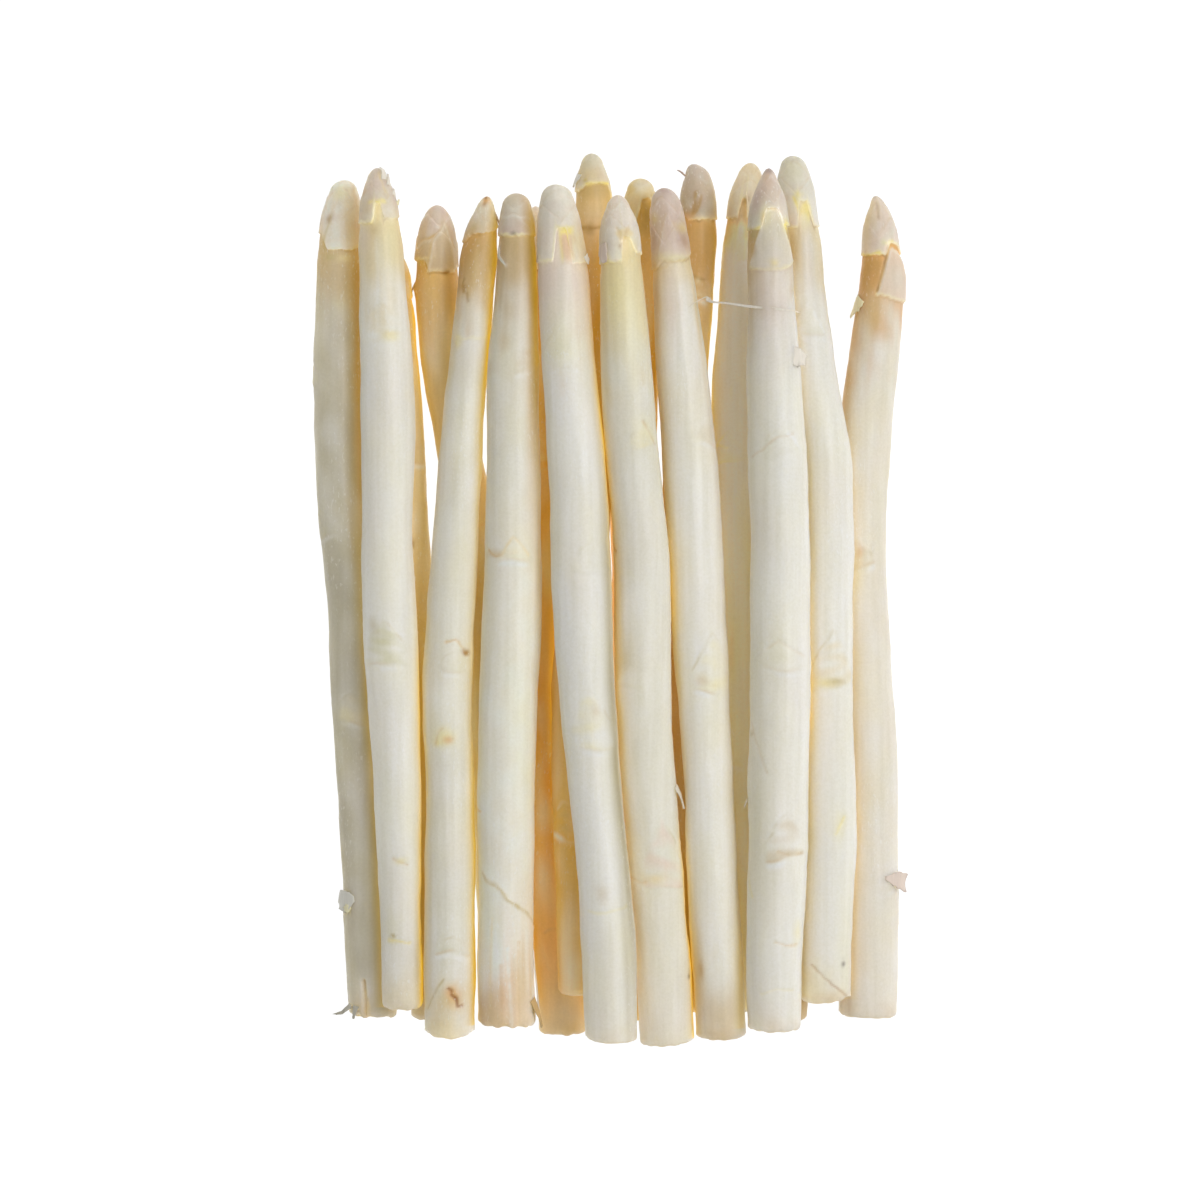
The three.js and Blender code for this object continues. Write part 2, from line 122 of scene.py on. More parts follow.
SPEARS["spear_01"] = dict(
    widths=[7.6, 10.2, 11.6, 12], dome=1.9, turn=100, cap=(CREAM, CREAM), flesh=ASH,
    below=(GOLDEN, 13, 0.6), tone=(1.08, 1.12, 0.95), lit=0.07, cut=(0.3, 0.2, 0.35),
    rim=[[0, 17], [60, 18.5], [120, 18.5], [150, 14], [200, 14], [240, 18], [330, 16]],
)
MARKS["spear_01"] = [
    crack([(9.5, 119), (11, 123), (15, 131), (18.5, 135)], OLIVE, 0.7), spot(10.5, 125, 1.1, 0.8, BROWN),
    spot(15.7, 137, 1, 0.7, OLIVE, 0.7), spot(3.5, 100, 2.5, 2.2, LEMON, 0.6), spot(12, 160, 6, 2.2, PINK),
    spot(20, 150, 8, 2.2, GOLDEN, 0.6), spot(20.5, 112, 1, 1.6, OLIVE, 0.6),
    spot(20.8, 75, 1.2, 2.2, LEMON), spot(33, 84, 3, 3, GREEN, 0.3),
    crack([(47, 168), (49, 178), (52, 180)], BROWN, width=0.7), spot(49, 176, 1, 1, TAN, dent=0.4),
    spot(11, 62, 6, 3, GOLDEN, 0.4), scar(134, 98, 8, 42, STRAW, 0.3), spot(140, 115, 2.5, 2.5, LEMON, 0.4),
    spot(176, 165, 5, 3, OLIVE, 0.3), spot(190, 150, 2.2, 2, YELLOW, 0.6),
    crack([(209.5, 107), (213, 106), (219.5, 107)], BROWN, 0.9, dent=1.4, width=0.7),
    crack([(214, 100), (219.5, 96)], TAN, 0.6, dent=0.4), spot(216, 120, 4, 3, PINK, 0.4),
    # painted shade: the first spot, amber on the right flank where spear_02 keeps the light off
    spot(52, 27, 48, 3.2, AMBER, 0.6), scar(84, 140, 9, 45, GREEN, 0.15, 0.2),
    scar(48, 175, 5, 40, GREEN, 0.2),
]
FLAPS["spear_01"] = [
    (IVORY, [(188, 120, 0, 0.8), (188.2, 134, 0.2, 2.4), (188.8, 154, 0.5, 2.9), (190, 174, 0.9, 0.9)]),
    (LEMON, [(190.4, 130, 0.1, 0.3), (190.6, 138, 0.5, 1.2), (190.8, 146, 0.7, 0.5)]),
    (ASH, [(216, 150, 0, 0.8), (218, 168, 1.2, 0.5), (218.6, 176, 3, 0.15)]),
    (ASH, [(216, 130, 0, 0.9), (219.4, 136, 0.2, 0.3)]),
]

SPEARS["spear_02"] = dict(
    widths=[5.8, 9, 10.6, 11.2], turn=60, cap=(PINK, FAWN), flesh=CREAM, below=(STRAW, 18, 0.9),
    rim=[[10, 13], [75, 13.5], [84, 9.5], [100, 9.5], [108, 14.5], [190, 14.5], [280, 12]],
)
MARKS["spear_02"] = [
    window(11.8, 92, 2.7, 0.75, STRAW, 0.95),
    crack([(9.2, 116), (9, 95), (9.1, 70)], YELLOW, 0.9, dent=-0.1, width=0.75),
    crack([(9.8, 101), (12, 102), (14.4, 103)], LEMON, dent=0), spot(11.6, 55, 2.2, 2, WHITE),
    crack([(14.6, 170), (14.9, 140), (14.7, 108)], YELLOW, 0.7, dent=0), spot(4, 110, 3.5, 2.2, MAUVE),
    crack([(1.5, 80), (4, 66), (6.5, 60)], STRAW, 0.6), spot(6.5, 150, 1.2, 0.7, ORANGE),
    spot(18, 140, 4, 3, PINK, 0.6), spot(16.5, 100, 1.5, 2, TAN, 0.4), spot(20, 60, 8, 3, LEMON, 0.6),
    scar(34, 88, 10, 50, STRAW, 0.25, 0.17), spot(44, 76, 1.3, 2, YELLOW, 0.4),
    scar(117, 100, 12.5, 60, GREEN, 0.6, 0.75), spot(119, 125, 2, 1.5, OLIVE, 0.35),
    crack([(179.5, 104), (180.3, 88), (181, 66)], TAN), spot(180, 84, 1, 1.4, YELLOW, 0.4),
    spot(160, 120, 14, 3, GREEN, 0.22), spot(197, 118, 5, 3, GREEN, 0.4),
    crack([(200.5, 130), (200.8, 100), (201.2, 62)], YELLOW, 0.7, dent=0.1),
    # painted shade: the two ash spots at the end of this line, on the left flank away from the light
    spot(199.4, 112, 0.6, 0.8, OLIVE, 0.9), spot(66, 166, 60, 3, ASH), spot(205, 160, 22, 3, ASH),
    # painted shade: the first spot, low on the right flank where the next spear shades it
    spot(207, 26, 14, 2.6, FLANK_SHADE, 0.6), spot(215, 100, 6, 7, STRAW, 0.4),
]
FLAPS["spear_02"] = [
    (WARM, [(3.4, 52, 0, 0.9), (1.6, 46, 0.3, 0.6), (-0.2, 42, 0.6, 0.15)]),
    (WARM, [(5.6, 36, 0, 0.9), (3.6, 28, 0.3, 0.5), (1.6, 22, 0.6, 0.1)]),
    (WARM, [(9, 30, 0, 1.1), (7, 18, 0.3, 0.9), (5.4, 8, 0.5, 0.2)]),
    (LEMON, [(9.6, 16, 0.1, 0.6), (9, 6, 0.5, 0.5), (8.2, 0, 0.8, 0.1)]),
]

SPEARS["spear_03"] = dict(
    widths=[5.6, 9.3, 10.2, 10.8], turn=30, cap=(GOLDEN, GOLDEN), flesh=STRAW, below=(HONEY, 14, 0.6),
    rim=[[0, 15], [100, 16], [200, 14], [290, 16]],
)
MARKS["spear_03"] = [scar(52, 60, 7, 50, TAN), spot(80, 78, 1.4, 0.8, BROWN, 0.8), scar(110, 250, 9)]

SPEARS["spear_04"] = dict(
    widths=[7, 9.8, 11.1, 11.6], turn=140, crisp=1, cap=(MAUVE, FAWN), flesh=STRAW, below=(AMBER, 14, 0.6),
    tone=(0.94, 1.06, 1.15), rim=[[0, 16], [70, 17.8], [110, 17.6], [122, 14.6], [190, 14.6], [270, 16]],
)
MARKS["spear_04"] = [
    bract([(96, 10), (104, 9), (122, 9.3), (140, 10), (176, 13)], [(96, 14.4), (176, 14.4)], 0.3),
    bract(
        [(32, 17.6), (39, 11.8), (48, 8.2), (58, 5.4), (66, 5), (98, 8.9), (107, 13.9), (116, 17.6)],
        [(32, 17.8), (116, 17.7)],
    ),
    spot(8, 165, 6, 2.2, GOLDEN, 0.6), spot(14.9, 156, 1, 3, YELLOW, 0.6),
    spot(17.8, 63, 0.8, 0.8, BROWN, 0.8), spot(5, 100, 3, 1.4, MAUVE, 0.6),
    crack([(9.9, 140), (9.2, 118), (8.4, 95)], TAN, 0.7), spot(17, 165, 3.5, 2, HONEY, 0.6),
    spot(22, 172, 1.6, 1.4, TAN, dent=-0.5), crack([(23, 178), (24, 160)], BROWN, 0.6),
    spot(26, 60, 5, 2, HONEY, 0.4), spot(30, 120, 10, 3, GOLDEN, 0.4), scar(76, 100, 8), scar(150, 280, 8),
]
FLAPS["spear_04"] = [(TAN, [(20.6, 172, 0, 1.2), (22.2, 180, 0.6, 0.9), (23.4, 186, 0.9, 0.3)])]

SPEARS["spear_05"] = dict(
    widths=[4.9, 8.1, 9.6, 9.8], turn=80, cap=(IVORY, FAWN), flesh=IVORY, below=(HONEY, 13, 1),
    tone=(1, 1, 1.04), cut=(1.8, 0, 0.15),
    rim=[[10, 8], [50, 9.5], [120, 10], [150, 12], [200, 12], [280, 9]],
)
MARKS["spear_05"] = [
    spot(1.1, 95, 1.3, 1.1, ORANGE, 0.9), spot(0.4, 105, 0.5, 0.5, RUST, 0.8),
    spot(2.2, 98, 0.6, 0.5, RUST), crack([(9.9, 122), (10.3, 110), (10.3, 97)], BROWN, 0.9),
    spot(8.6, 122, 1.4, 1.4, OLIVE, 0.6), crack([(12, 165), (12.1, 130)], OLIVE, dent=0),
    crack([(4.5, 8), (7.5, 2)], BROWN, 0.8), spot(13.5, 135, 4.5, 2.4, ORANGE, 0.7),
    spot(14, 60, 10, 1.8, GOLDEN), spot(20, 95, 7, 1, LEMON, 0.4), spot(19, 125, 8, 3, HONEY, 0.6),
    spot(22, 85, 9, 4, GOLDEN), spot(31, 110, 6, 4, IVORY), spot(23.9, 130, 0.9, 0.8, RUST, 1, dent=0.3),
    spot(25.5, 112, 1.4, 0.8, TAN, 0.4),
    crack([(21.5, 128), (23.2, 136), (24.8, 128)], BROWN, 0.8, dent=-0.2),
    crack([(24.8, 128), (25.6, 116), (27.8, 108)], BROWN), spot(24, 130, 2.2, 1.6, GOLDEN),
    crack([(36.9, 140), (37, 80), (36.8, 32)], LEMON, dent=-0.08), spot(38, 130, 2, 1.2, YELLOW, 0.4),
    crack([(115.6, 96), (115.2, 75), (117.5, 52), (118.9, 42), (118.2, 30)], TAN, 0.8, dent=0.25),
    spot(118.7, 41, 0.8, 1.2, RUST, 0.95, dent=0.3), scar(116, 60, 7, 50, GREEN, 0.15, 0.2),
    spot(140.5, 97, 2.6, 2.8, YELLOW), spot(141.2, 88, 1, 1.3, ORANGE, 0.6), spot(142, 115, 1, 1.4, YELLOW),
    crack([(138, 100), (139.5, 112), (142.5, 120)], TAN, 0.4),
    crack([(140, 158), (145, 166), (150, 160), (156, 166)], YELLOW, 0.45, dent=0.25, width=0.7),
    scar(192, 80, 5, 50, GREEN, 0.15), spot(209.5, 100, 4.6, 4.8, STRAW, 0.55),
    spot(215, 110, 3, 5, STRAW, 0.6), crack([(211, 152), (206.5, 124), (203.4, 104)], OLIVE, 0.7),
    spot(208, 80, 3, 2.6, AMBER, 0.6), spot(206.6, 86, 1.6, 1.5, ORANGE, 0.8),
    crack([(205.6, 92), (206.4, 84)], RUST, 1, dent=0.3, width=0.8),
    crack([(207.4, 84), (208.2, 76)], RUST, 1, dent=0.4, width=0.9),
    crack([(208.2, 72), (210.4, 70), (210, 60)], RUST, 0.9, dent=0.3, width=0.8),
]
FLAPS["spear_05"] = [(TAN, [(3.6, 20, 0, 0.4), (6.5, 8, 0.5, 0.7), (9.5, 0, 0.8, 0.4)])]

SPEARS["spear_06"] = dict(
    widths=[7.6, 9.3, 10.1, 10.5], dome=1.9, turn=40, cap=(FAWN, MAUVE), flesh=IVORY, below=(TAN, 18, 0.9),
    tone=(0.93, 0.96, 1.12), cut=(0.4, 0.2, 0.3), rim=[[0, 11], [90, 11.3], [180, 11], [270, 12]],
)
MARKS["spear_06"] = [
    crack([(6.5, 150), (6.3, 99), (6.8, 40)], CREAM, dent=-0.05), spot(4, 120, 4, 3, IVORY),
    spot(8.5, 50, 3, 1.8, TAN), spot(10.7, 100, 0.5, 0.6, DARK, 0.6),
    # painted shade: the brown spot (20, 34) and the honey spot (50, 36) on the right flank, in the gap
    # beside the next spear
    crack([(10.9, 165), (11.1, 100), (10.8, 30)], STRAW, 0.7, dent=0), spot(20, 34, 14, 2.4, BROWN, 0.8),
    spot(50, 36, 30, 2.8, HONEY), crack([(13.5, 160), (16.5, 150), (18.7, 122)], WHITE, 0.6, dent=-0.2),
    spot(16, 165, 5, 1.4, MAUVE), scar(37.5, 45, 8, 46, TAN, 0.3, 0.51), spot(50, 28, 6, 2, OLIVE, 0.35),
    crack([(92.6, 150), (94.2, 128), (93.8, 112), (90.5, 98), (89.2, 90), (90.6, 78), (93.8, 58)], STRAW),
    crack([(92.6, 150), (94.2, 128), (93.8, 116)], HONEY, 0.6, dent=0.1), spot(93.6, 130, 1, 3, TAN),
    scar(90, 88, 6, 40, LEMON, 0.3, 0.17), crack([(159.6, 175), (160.3, 150)], TAN, 0.6),
    crack(
        [(176, 146), (178, 136), (179.4, 110), (183, 84), (185.8, 52), (188.4, 20), (190.5, 0)],
        OLIVE, 0.8, dent=-0.18, width=0.8,
    ),
    spot(207, 90, 14, 6, PINK, 0.7), spot(209, 60, 9, 3.4, TAN, 0.6), spot(213, 112, 8, 7, ORANGE, 0.45),
    spot(215, 145, 6, 5, BROWN), spot(213, 122, 7, 4, TAN, 0.6), spot(217, 78, 4, 7, TAN, 0.6),
    spot(198, 108, 7, 2, WHITE, 0.6), crack([(188, 118), (212, 124)], STRAW, 0.35, dent=0.1, width=0.8),
    crack([(196, 84), (216, 78)], WHITE, dent=-0.1, width=0.8),
    crack([(194, 60), (216, 62)], TAN, width=0.7),
    crack([(200, 98), (217, 100)], TAN, 0.4, dent=0.1, width=0.7), spot(208, 96, 5, 1, ORANGE, 0.4),
    spot(200, 50, 9, 0.8, TAN), spot(205, 28, 10, 0.8, TAN, 0.45),
]
FLAPS["spear_06"] = [
    (IVORY, [(14, 160, 0, 0.25), (16.4, 150, 0.25, 0.4), (18.9, 122, 0.1, 0.15)]),
    (TAN, [(209, 20, 0, 1.6), (213, 8, 0.8, 1.5), (216.4, 2, 1.3, 0.7)]),
    (WARM, [(196, 4, 0, 0.4), (205, 0, 0.5, 0.35), (213, -4, 0.8, 0.15)]),
]

SPEARS["spear_07"] = dict(
    widths=[5, 8.5, 9.8, 10.4], turn=70, cap=(PINK, WARM), flesh=AMBER, below=(HONEY, 14, 0.6),
    tone=(1, 1.3, 1.3), lit=0.06, rim=[[0, 15], [90, 17], [180, 15], [270, 14]],
)
MARKS["spear_07"] = [
    crack([(188, 170), (194, 130), (200, 115)], TAN, 0.7, width=0.7), scar(60, 90, 8), scar(140, 230, 8),
    spot(150, 80, 6, 1.2, TAN), crack([(186, 60), (189, 90), (190, 120)], BROWN, 0.4),
    spot(205, 100, 4, 3, OLIVE, 0.4), spot(208, 90, 30, 9, FAWN, 0.8), spot(217, 90, 5, 9, HONEY, 0.4),
]

SPEARS["spear_08"] = dict(
    widths=[8.3, 10.4, 11.9, 13.1], dome=1.9, turn=85, cap=(WARM, WARM), flesh=CREAM, below=(PINK, 20, 0.8),
    tone=(0.96, 1, 1), cut=(0.9, 0.2, 0.12),
    rim=[[0, 20.5], [66, 20.5], [74, 11.6], [98, 11.6], [112, 20.3], [180, 20.3], [270, 18]],
)
MARKS["spear_08"] = [
    window(15.5, 76, 4.6, 1.7, ORANGE, 0.55), window(12.3, 72, 0.9, 2, YELLOW),
    crack([(11.3, 96), (11.3, 70), (11.4, 50)], YELLOW, 0.7, dent=0),
    crack([(11.6, 91), (20.2, 89)], YELLOW, 0.7, dent=0), crack([(12, 56), (19.5, 63)], LEMON, dent=0),
    spot(14, 130, 5, 3.2, MAUVE, 0.35), spot(15, 30, 5, 2.5, STRAW, 0.6),
    spot(19.4, 172, 1, 0.9, BROWN, 0.7), spot(4, 140, 5, 2.5, ASH, 0.4), spot(20.6, 140, 0.7, 2, LEMON),
    spot(25, 140, 5, 2.6, PINK, 0.6), spot(42, 108, 6, 3.4, GREEN, 0.4), spot(40, 95, 8, 5, LEMON, 0.35),
    scar(38, 110, 9, 46, GREEN, 0.12, 0.2), scar(92, 60, 8, 50, GREEN, 0.15, 0.17),
    scar(131, 86, 14, 56, LEMON, 0.45, 0.45), spot(136, 75, 2, 1.2, TAN, 0.3),
    crack([(186, 40), (188, 90), (187.5, 130)], LEMON, dent=0.05), scar(190, 270, 6),
    spot(200, 178, 12, 1.6, OLIVE, 0.4), spot(183, 95, 2.5, 1.8, TAN, 0.25),
    # painted shade: the first spot, a dark band on the right flank in spear_10's shadow; painted highlight:
    # the white spot after it
    spot(150, 28, 80, 2.6, FLANK_SHADE, 0.7), spot(143, 62, 4, 3, WHITE, 0.45),
]
FLAPS["spear_08"] = [(CREAM, [(20, 24, 0.4, 1.2), (18.6, 10, 0.6, 0.9)])]

SPEARS["spear_09"] = dict(
    widths=[6.1, 8.9, 9.8, 10], dome=1.8, turn=120, cap=(IVORY, WARM), flesh=AMBER, below=(TAN, 9, 1),
    tone=(0.81, 1, 1.15), lit=0.14, rim=[[0, 12], [30, 8.2], [105, 8.2], [140, 10], [190, 10], [270, 12]],
)
MARKS["spear_09"] = [
    spot(7.3, 116, 0.8, 0.7, OLIVE, 0.9),
    crack([(8.3, 110), (8, 75), (8, 30)], YELLOW, 0.8, dent=-0.05, width=0.7),
    spot(2, 95, 1.6, 2, IVORY, 0.7), spot(3.5, 140, 2.5, 2, OLIVE, 0.3), spot(6, 95, 2, 3, STRAW),
    spot(16.5, 95, 2.6, 4.5, FAWN), crack([(19.8, 140), (20, 100), (19.6, 60)], BROWN, 0.7, width=0.9),
    spot(20.2, 105, 1.4, 1.6, BROWN, 0.6), scar(96, 70, 8), scar(170, 120, 8, 50, TAN),
    spot(182, 70, 1, 0.5, GREEN, 0.8), spot(190, 90, 12, 3, TAN, 0.35), spot(212, 80, 3, 6, WARM, 0.3),
]
FLAPS["spear_09"] = [(IVORY, [(5.5, 158, 0.3, 1.6), (7.2, 164, 0.5, 1.2), (9, 170, 0.7, 0.3)])]

SPEARS["spear_10"] = dict(
    widths=[6.2, 9.6, 10.8, 11], dome=1.5, turn=65, cap=(PINK, CREAM), flesh=IVORY, below=(STRAW, 20, 0.85),
    tone=(0.97, 1, 1.08), left=0.05, cut=(0.7, -0.5, 0.15),
    rim=[[0, 15.2], [40, 15], [62, 11], [80, 11], [88, 17.4], [180, 17.8], [270, 16]],
)
MARKS["spear_10"] = [
    window(10.4, 78, 1.3, 2.3, STRAW, 0.8), crack([(9, 99), (9.8, 92), (12.4, 88)], HONEY, dent=0.2),
    crack([(8.8, 62), (10.4, 72), (12.5, 80)], HONEY, 0.4), spot(13.4, 90, 0.55, 0.5, BROWN, 0.8),
    window(15.2, 78, 3.4, 1, STRAW, 0.6), spot(14, 52, 3.4, 2, STRAW), spot(12, 125, 4, 3.2, PINK, 0.4),
    spot(16.5, 137, 0.8, 1.2, YELLOW, 0.7), spot(9, 165, 6, 1.6, TAN, 0.6),
    crack([(17.2, 170), (17.6, 130), (17.2, 92)], YELLOW, dent=0), spot(17.2, 103, 0.8, 0.8, MAUVE, 0.6),
    spot(26, 110, 8, 3, YELLOW, 0.4), spot(30, 60, 12, 3, LEMON), spot(30, 90, 16, 5, LEMON, 0.4),
    spot(60, 60, 3, 3, LEMON, 0.4), crack([(58.5, 60), (62, 42), (64, 30)], TAN, 0.4),
    scar(58, 55, 7, 42, YELLOW, 0.25, 0.26), crack([(90, 178), (92, 160)], BROWN, 0.7),
    spot(92, 178, 34, 3.4, HONEY, dent=-0.45), spot(120.4, 128, 3, 2.4, OLIVE, 0.35),
    scar(161, 68, 17, 52, PINK, 0.8, 0.7), spot(176.5, 88, 1.5, 2.6, STRAW, 0.6),
    crack([(176.5, 150), (177.5, 110)], TAN, 0.3), spot(202, 27, 0.7, 0.6, DARK, 0.95),
    scar(122, 120, 5, 40, GREEN, 0.1, 0.09),
]
FLAPS["spear_10"] = [
    (PINK, [(12.8, 150, 0.3, 1.6), (15.4, 142, 0.6, 1.5), (17.6, 132, 0.8, 0.7)]),
    (WARM, [(152.6, 14, 0, 1.4), (155.4, 6, 0.8, 1.5), (158.6, 4, 1.2, 0.5)]),
]

SPEARS["spear_11"] = dict(
    widths=[7.3, 9.8, 10.7, 11.2], dome=1.9, turn=30, cap=(STRAW, STRAW), flesh=AMBER,
    below=(AMBER, 14, 0.8), tone=(0.86, 1.12, 1.15), lit=0.15,
    rim=[[0, 13], [55, 5.5], [85, 5.5], [110, 14], [200, 15], [280, 13]],
)
MARKS["spear_11"] = [
    spot(6.5, 76, 1.6, 1.6, BROWN, 0.8, dent=0.4), window(9, 66, 3.2, 1.1, HONEY, 0.8),
    spot(9.8, 92, 0.9, 0.9, RUST), spot(2.5, 80, 2, 3, IVORY, 0.6),
    crack([(14, 120), (14.6, 88)], TAN, 0.6), spot(14, 70, 4, 3, TAN, 0.6), scar(44, 110, 8),
    scar(120, 250, 9),
]

SPEARS["spear_12"] = dict(
    widths=[7.4, 8.9, 9.7, 10.6], dome=1.5, turn=110, crisp=0.7, cap=(MAUVE, PINK), flesh=CREAM,
    below=(STRAW, 8, 0.5), tone=(0.9, 0.94, 1), cut=(0.5, -0.1, 0.12),
    rim=[[0, 17], [60, 19.2], [120, 19.2], [150, 21.5], [200, 21], [280, 18]],
)
MARKS["spear_12"] = [
    bract([(42, 16), (68, 10.5), (88, 7), (96, 7.4), (112, 11), (132, 17)], [(42, 18.2), (132, 18.8)], 0.2),
    spot(8.3, 140, 1.2, 1, YELLOW, 0.7), spot(10.7, 44, 1.5, 2, YELLOW, 0.75),
    spot(14, 42, 2.6, 2, PLUM, 0.95), spot(13, 150, 3.2, 1.4, PLUM, 0.6), spot(5.5, 90, 5, 5, MAUVE, 0.6),
    spot(10, 60, 4, 2.4, PLUM, 0.35), spot(10, 120, 5, 2, TAN, 0.3), spot(0.7, 95, 0.9, 1.6, PLUM, 0.6),
    spot(13.5, 95, 4, 2.4, MAUVE, 0.4), spot(16, 70, 2, 2.4, PINK), spot(18.9, 102, 0.7, 0.9, OLIVE, 0.8),
    spot(18.4, 95, 1.4, 4, LEMON, 0.7), spot(20.6, 150, 2, 2, STRAW, 0.7),
    crack([(20.8, 165), (21.2, 130), (19.4, 90), (18.9, 50), (17.6, 20)], STRAW, dent=0),
    spot(30, 105, 12, 2, PINK), spot(28, 150, 14, 1.8, TAN, 0.4), spot(30, 30, 16, 1.2, STRAW),
    scar(60, 40, 6, 46, TAN, 0.15, 0.26), scar(116, 62, 14, 56, LEMON), spot(128, 92, 1.4, 1.6, TAN, 0.35),
    spot(203, 133, 2.4, 1, HONEY, 0.6), spot(196, 150, 12, 1.6, YELLOW, 0.4),
    spot(204, 150, 14, 3.2, HONEY, 0.45), spot(215, 90, 8, 6.5, TAN, 0.6), spot(219.5, 90, 1.6, 6.5, TAN),
]

SPEARS["spear_13"] = dict(
    widths=[6.7, 9, 9.9, 10.3], dome=1.6, hook=-1, turn=115, cap=(PINK, FAWN), flesh=GOLDEN,
    below=(HONEY, 18, 0.9), tone=(0.78, 1.16, 1.1),
    rim=[[0, 14.5], [90, 14.9], [125, 14.8], [150, 12], [200, 12], [270, 14]],
)
MARKS["spear_13"] = [
    crack([(8, 99), (11, 101), (13.6, 106)], HONEY, 0.9, width=0.9),
    crack([(8.5, 80), (11, 88), (13, 97)], HONEY, 0.8, width=0.7), spot(2.5, 110, 2.2, 2, PINK, 0.6),
    spot(3, 150, 2, 1, MAUVE), crack([(14.6, 140), (14.9, 60)], STRAW, dent=0),
    spot(15, 50, 1, 1, TAN, 0.7), crack([(29.5, 90), (30.5, 60)], BROWN, 0.4), scar(30, 80, 6),
    spot(14, 125, 2, 1.6, ORANGE, 0.6), scar(100, 260, 8),
]
FLAPS["spear_13"] = [(MAUVE, [(3.2, 160, 0.2, 0.35), (2.2, 172, 0.9, 0.25), (1.6, 178, 1.8, 0.1)])]

SPEARS["spear_14"] = dict(
    widths=[6.3, 9.6, 11, 11.4], dome=1.5, turn=150, cap=(FAWN, WARM), flesh=WARM, below=(HONEY, 9, 0.8),
    tone=(1.03, 1.52, 1.15), lit=0.12,
    rim=[[0, 15], [92, 14.8], [98, 9.6], [112, 9.6], [118, 14.8], [200, 14.6], [280, 16]],
)
MARKS["spear_14"] = [
    spot(10.3, 101, 1.1, 1, BROWN, 0.9, dent=0.4), window(13, 100, 3, 0.6, HONEY, 0.8),
    crack([(14.9, 95), (20, 93)], TAN, 0.8, dent=0.1, width=0.7), spot(13, 150, 1.6, 2, MAUVE, 0.4),
    crack([(14.9, 150), (14.8, 120), (14.6, 101)], BROWN),
    crack([(13.4, 176), (15.6, 180)], RUST, 0.9, width=0.9), scar(18.5, 84, 8, 40, IVORY, 0.4, 0.26),
    spot(28.5, 175, 2, 1, BROWN, 0.3), spot(20, 140, 5, 2.4, OLIVE, 0.3), spot(22, 110, 4, 1.6, GOLDEN),
    crack([(28.4, 178), (28.6, 160)], BROWN, 0.4), spot(22, 90, 8, 6, GOLDEN, 0.3), scar(70, 100, 8),
    scar(150, 120, 8), crack([(74, 178), (74.5, 110)], TAN, 0.4), spot(60, 100, 3, 1, TAN, 0.4),
    spot(50, 95, 36, 9, CREAM, 0.35), spot(128, 100, 8, 1, OLIVE, 0.3),
]

SPEARS["spear_15"] = dict(
    widths=[4.6, 8.4, 10.5, 11.2], turn=75, crisp=0.6, cap=(MAUVE, IVORY), flesh=CREAM, below=(TAN, 12, 1),
    tone=(0.88, 0.9, 1), cut=(0.5, 0.1, 0.22),
    rim=[[0, 15], [50, 14.5], [62, 10.5], [96, 10.5], [112, 16], [180, 16.2], [270, 14]],
)
MARKS["spear_15"] = [
    bract(
        [(18, 24.3), (34, 17.3), (52, 12.2), (60, 11.4), (98, 10.9),
         (104, 12), (114, 15.5), (133, 19.9), (156, 25.9)],
        [(18, 24.5), (45, 25.9), (76, 26.7), (123, 26.4), (156, 26)],
        0.5,
    ),
    spot(0.6, 95, 1, 1.6, GREY, 0.9), spot(4.5, 100, 3.5, 2, ORANGE, 0.3), spot(7, 120, 5, 3, MAUVE, 0.6),
    spot(9, 140, 4, 2, PLUM, 0.45), spot(8, 60, 4, 3, PINK),
    crack([(15.7, 170), (16, 140), (15.8, 116)], YELLOW, 0.85, dent=-0.1, width=0.75),
    spot(12.5, 100, 3.5, 1.6, LEMON, 0.6), spot(14, 140, 3, 2.4, ASH),
    spot(14.9, 34, 1.6, 1.4, YELLOW, 0.9), crack([(15.2, 48), (18, 38), (21.5, 26)], LEMON, 0.8, dent=0),
    window(19.5, 142, 3.6, 1.5, TAN), spot(17.3, 140, 1.4, 1.6, OLIVE, 0.8),
    spot(13.2, 106, 1.6, 0.5, STRAW, 0.8), crack([(26.2, 150), (26.5, 90), (25.4, 35)], LEMON, dent=0),
    spot(24.9, 80, 1.1, 1.1, YELLOW, 0.9, dent=-0.2), spot(32, 120, 8, 4, PINK), spot(32, 72, 12, 4, PINK),
    spot(38, 110, 16, 4, MAUVE, 0.2), spot(36, 150, 12, 2, TAN, 0.4),
    scar(64, 62, 10, 56, GREEN, 0.12, 0.2), crack([(75, 150), (72.5, 120), (70, 90), (69, 60)], TAN, 0.3),
    crack([(68.5, 70), (71, 52), (73, 42)], WHITE, 0.7, dent=-0.12), scar(122, 90, 7, 60, GREEN, 0.12, 0.2),
    crack([(124, 118), (121.8, 95), (125, 60), (126, 40)], TAN, 0.25),
    crack([(143, 160), (150, 135), (156, 115)], TAN, 0.35), spot(146, 158, 0.8, 0.8, OLIVE),
    scar(166, 74, 12, 46, FAWN, 0.5, 0.8), crack([(176.8, 40), (177.6, 70), (176.4, 92)], TAN, 0.4),
    crack([(180, 172), (184, 160), (188, 148)], YELLOW, 0.4),
    crack([(199.5, 90), (200.6, 70), (200.4, 40)], TAN), spot(197, 40, 3, 1.6, YELLOW, 0.3),
    crack([(213, 120), (211.6, 90), (212, 45)], LEMON, 0.4), spot(219, 172, 4, 1.4, TAN),
]
FLAPS["spear_15"] = [
    (WARM, [(48.6, 44, 0, 2.4), (49, 30, 0.5, 2.6), (49.8, 18, 1.5, 1.6)]),
    (WARM, [(163, 176, 0, 0.7), (165, 182, 0.6, 0.3)]),
]

SPEARS["spear_16"] = dict(
    widths=[5.7, 9.3, 10, 10.6], turn=20, cap=(PINK, WARM), flesh=GOLDEN, below=(HONEY, 14, 0.5),
    rim=[[0, 14], [90, 15], [180, 16], [270, 15]],
)
MARKS["spear_16"] = [scar(50, 80, 8), scar(130, 270, 8)]

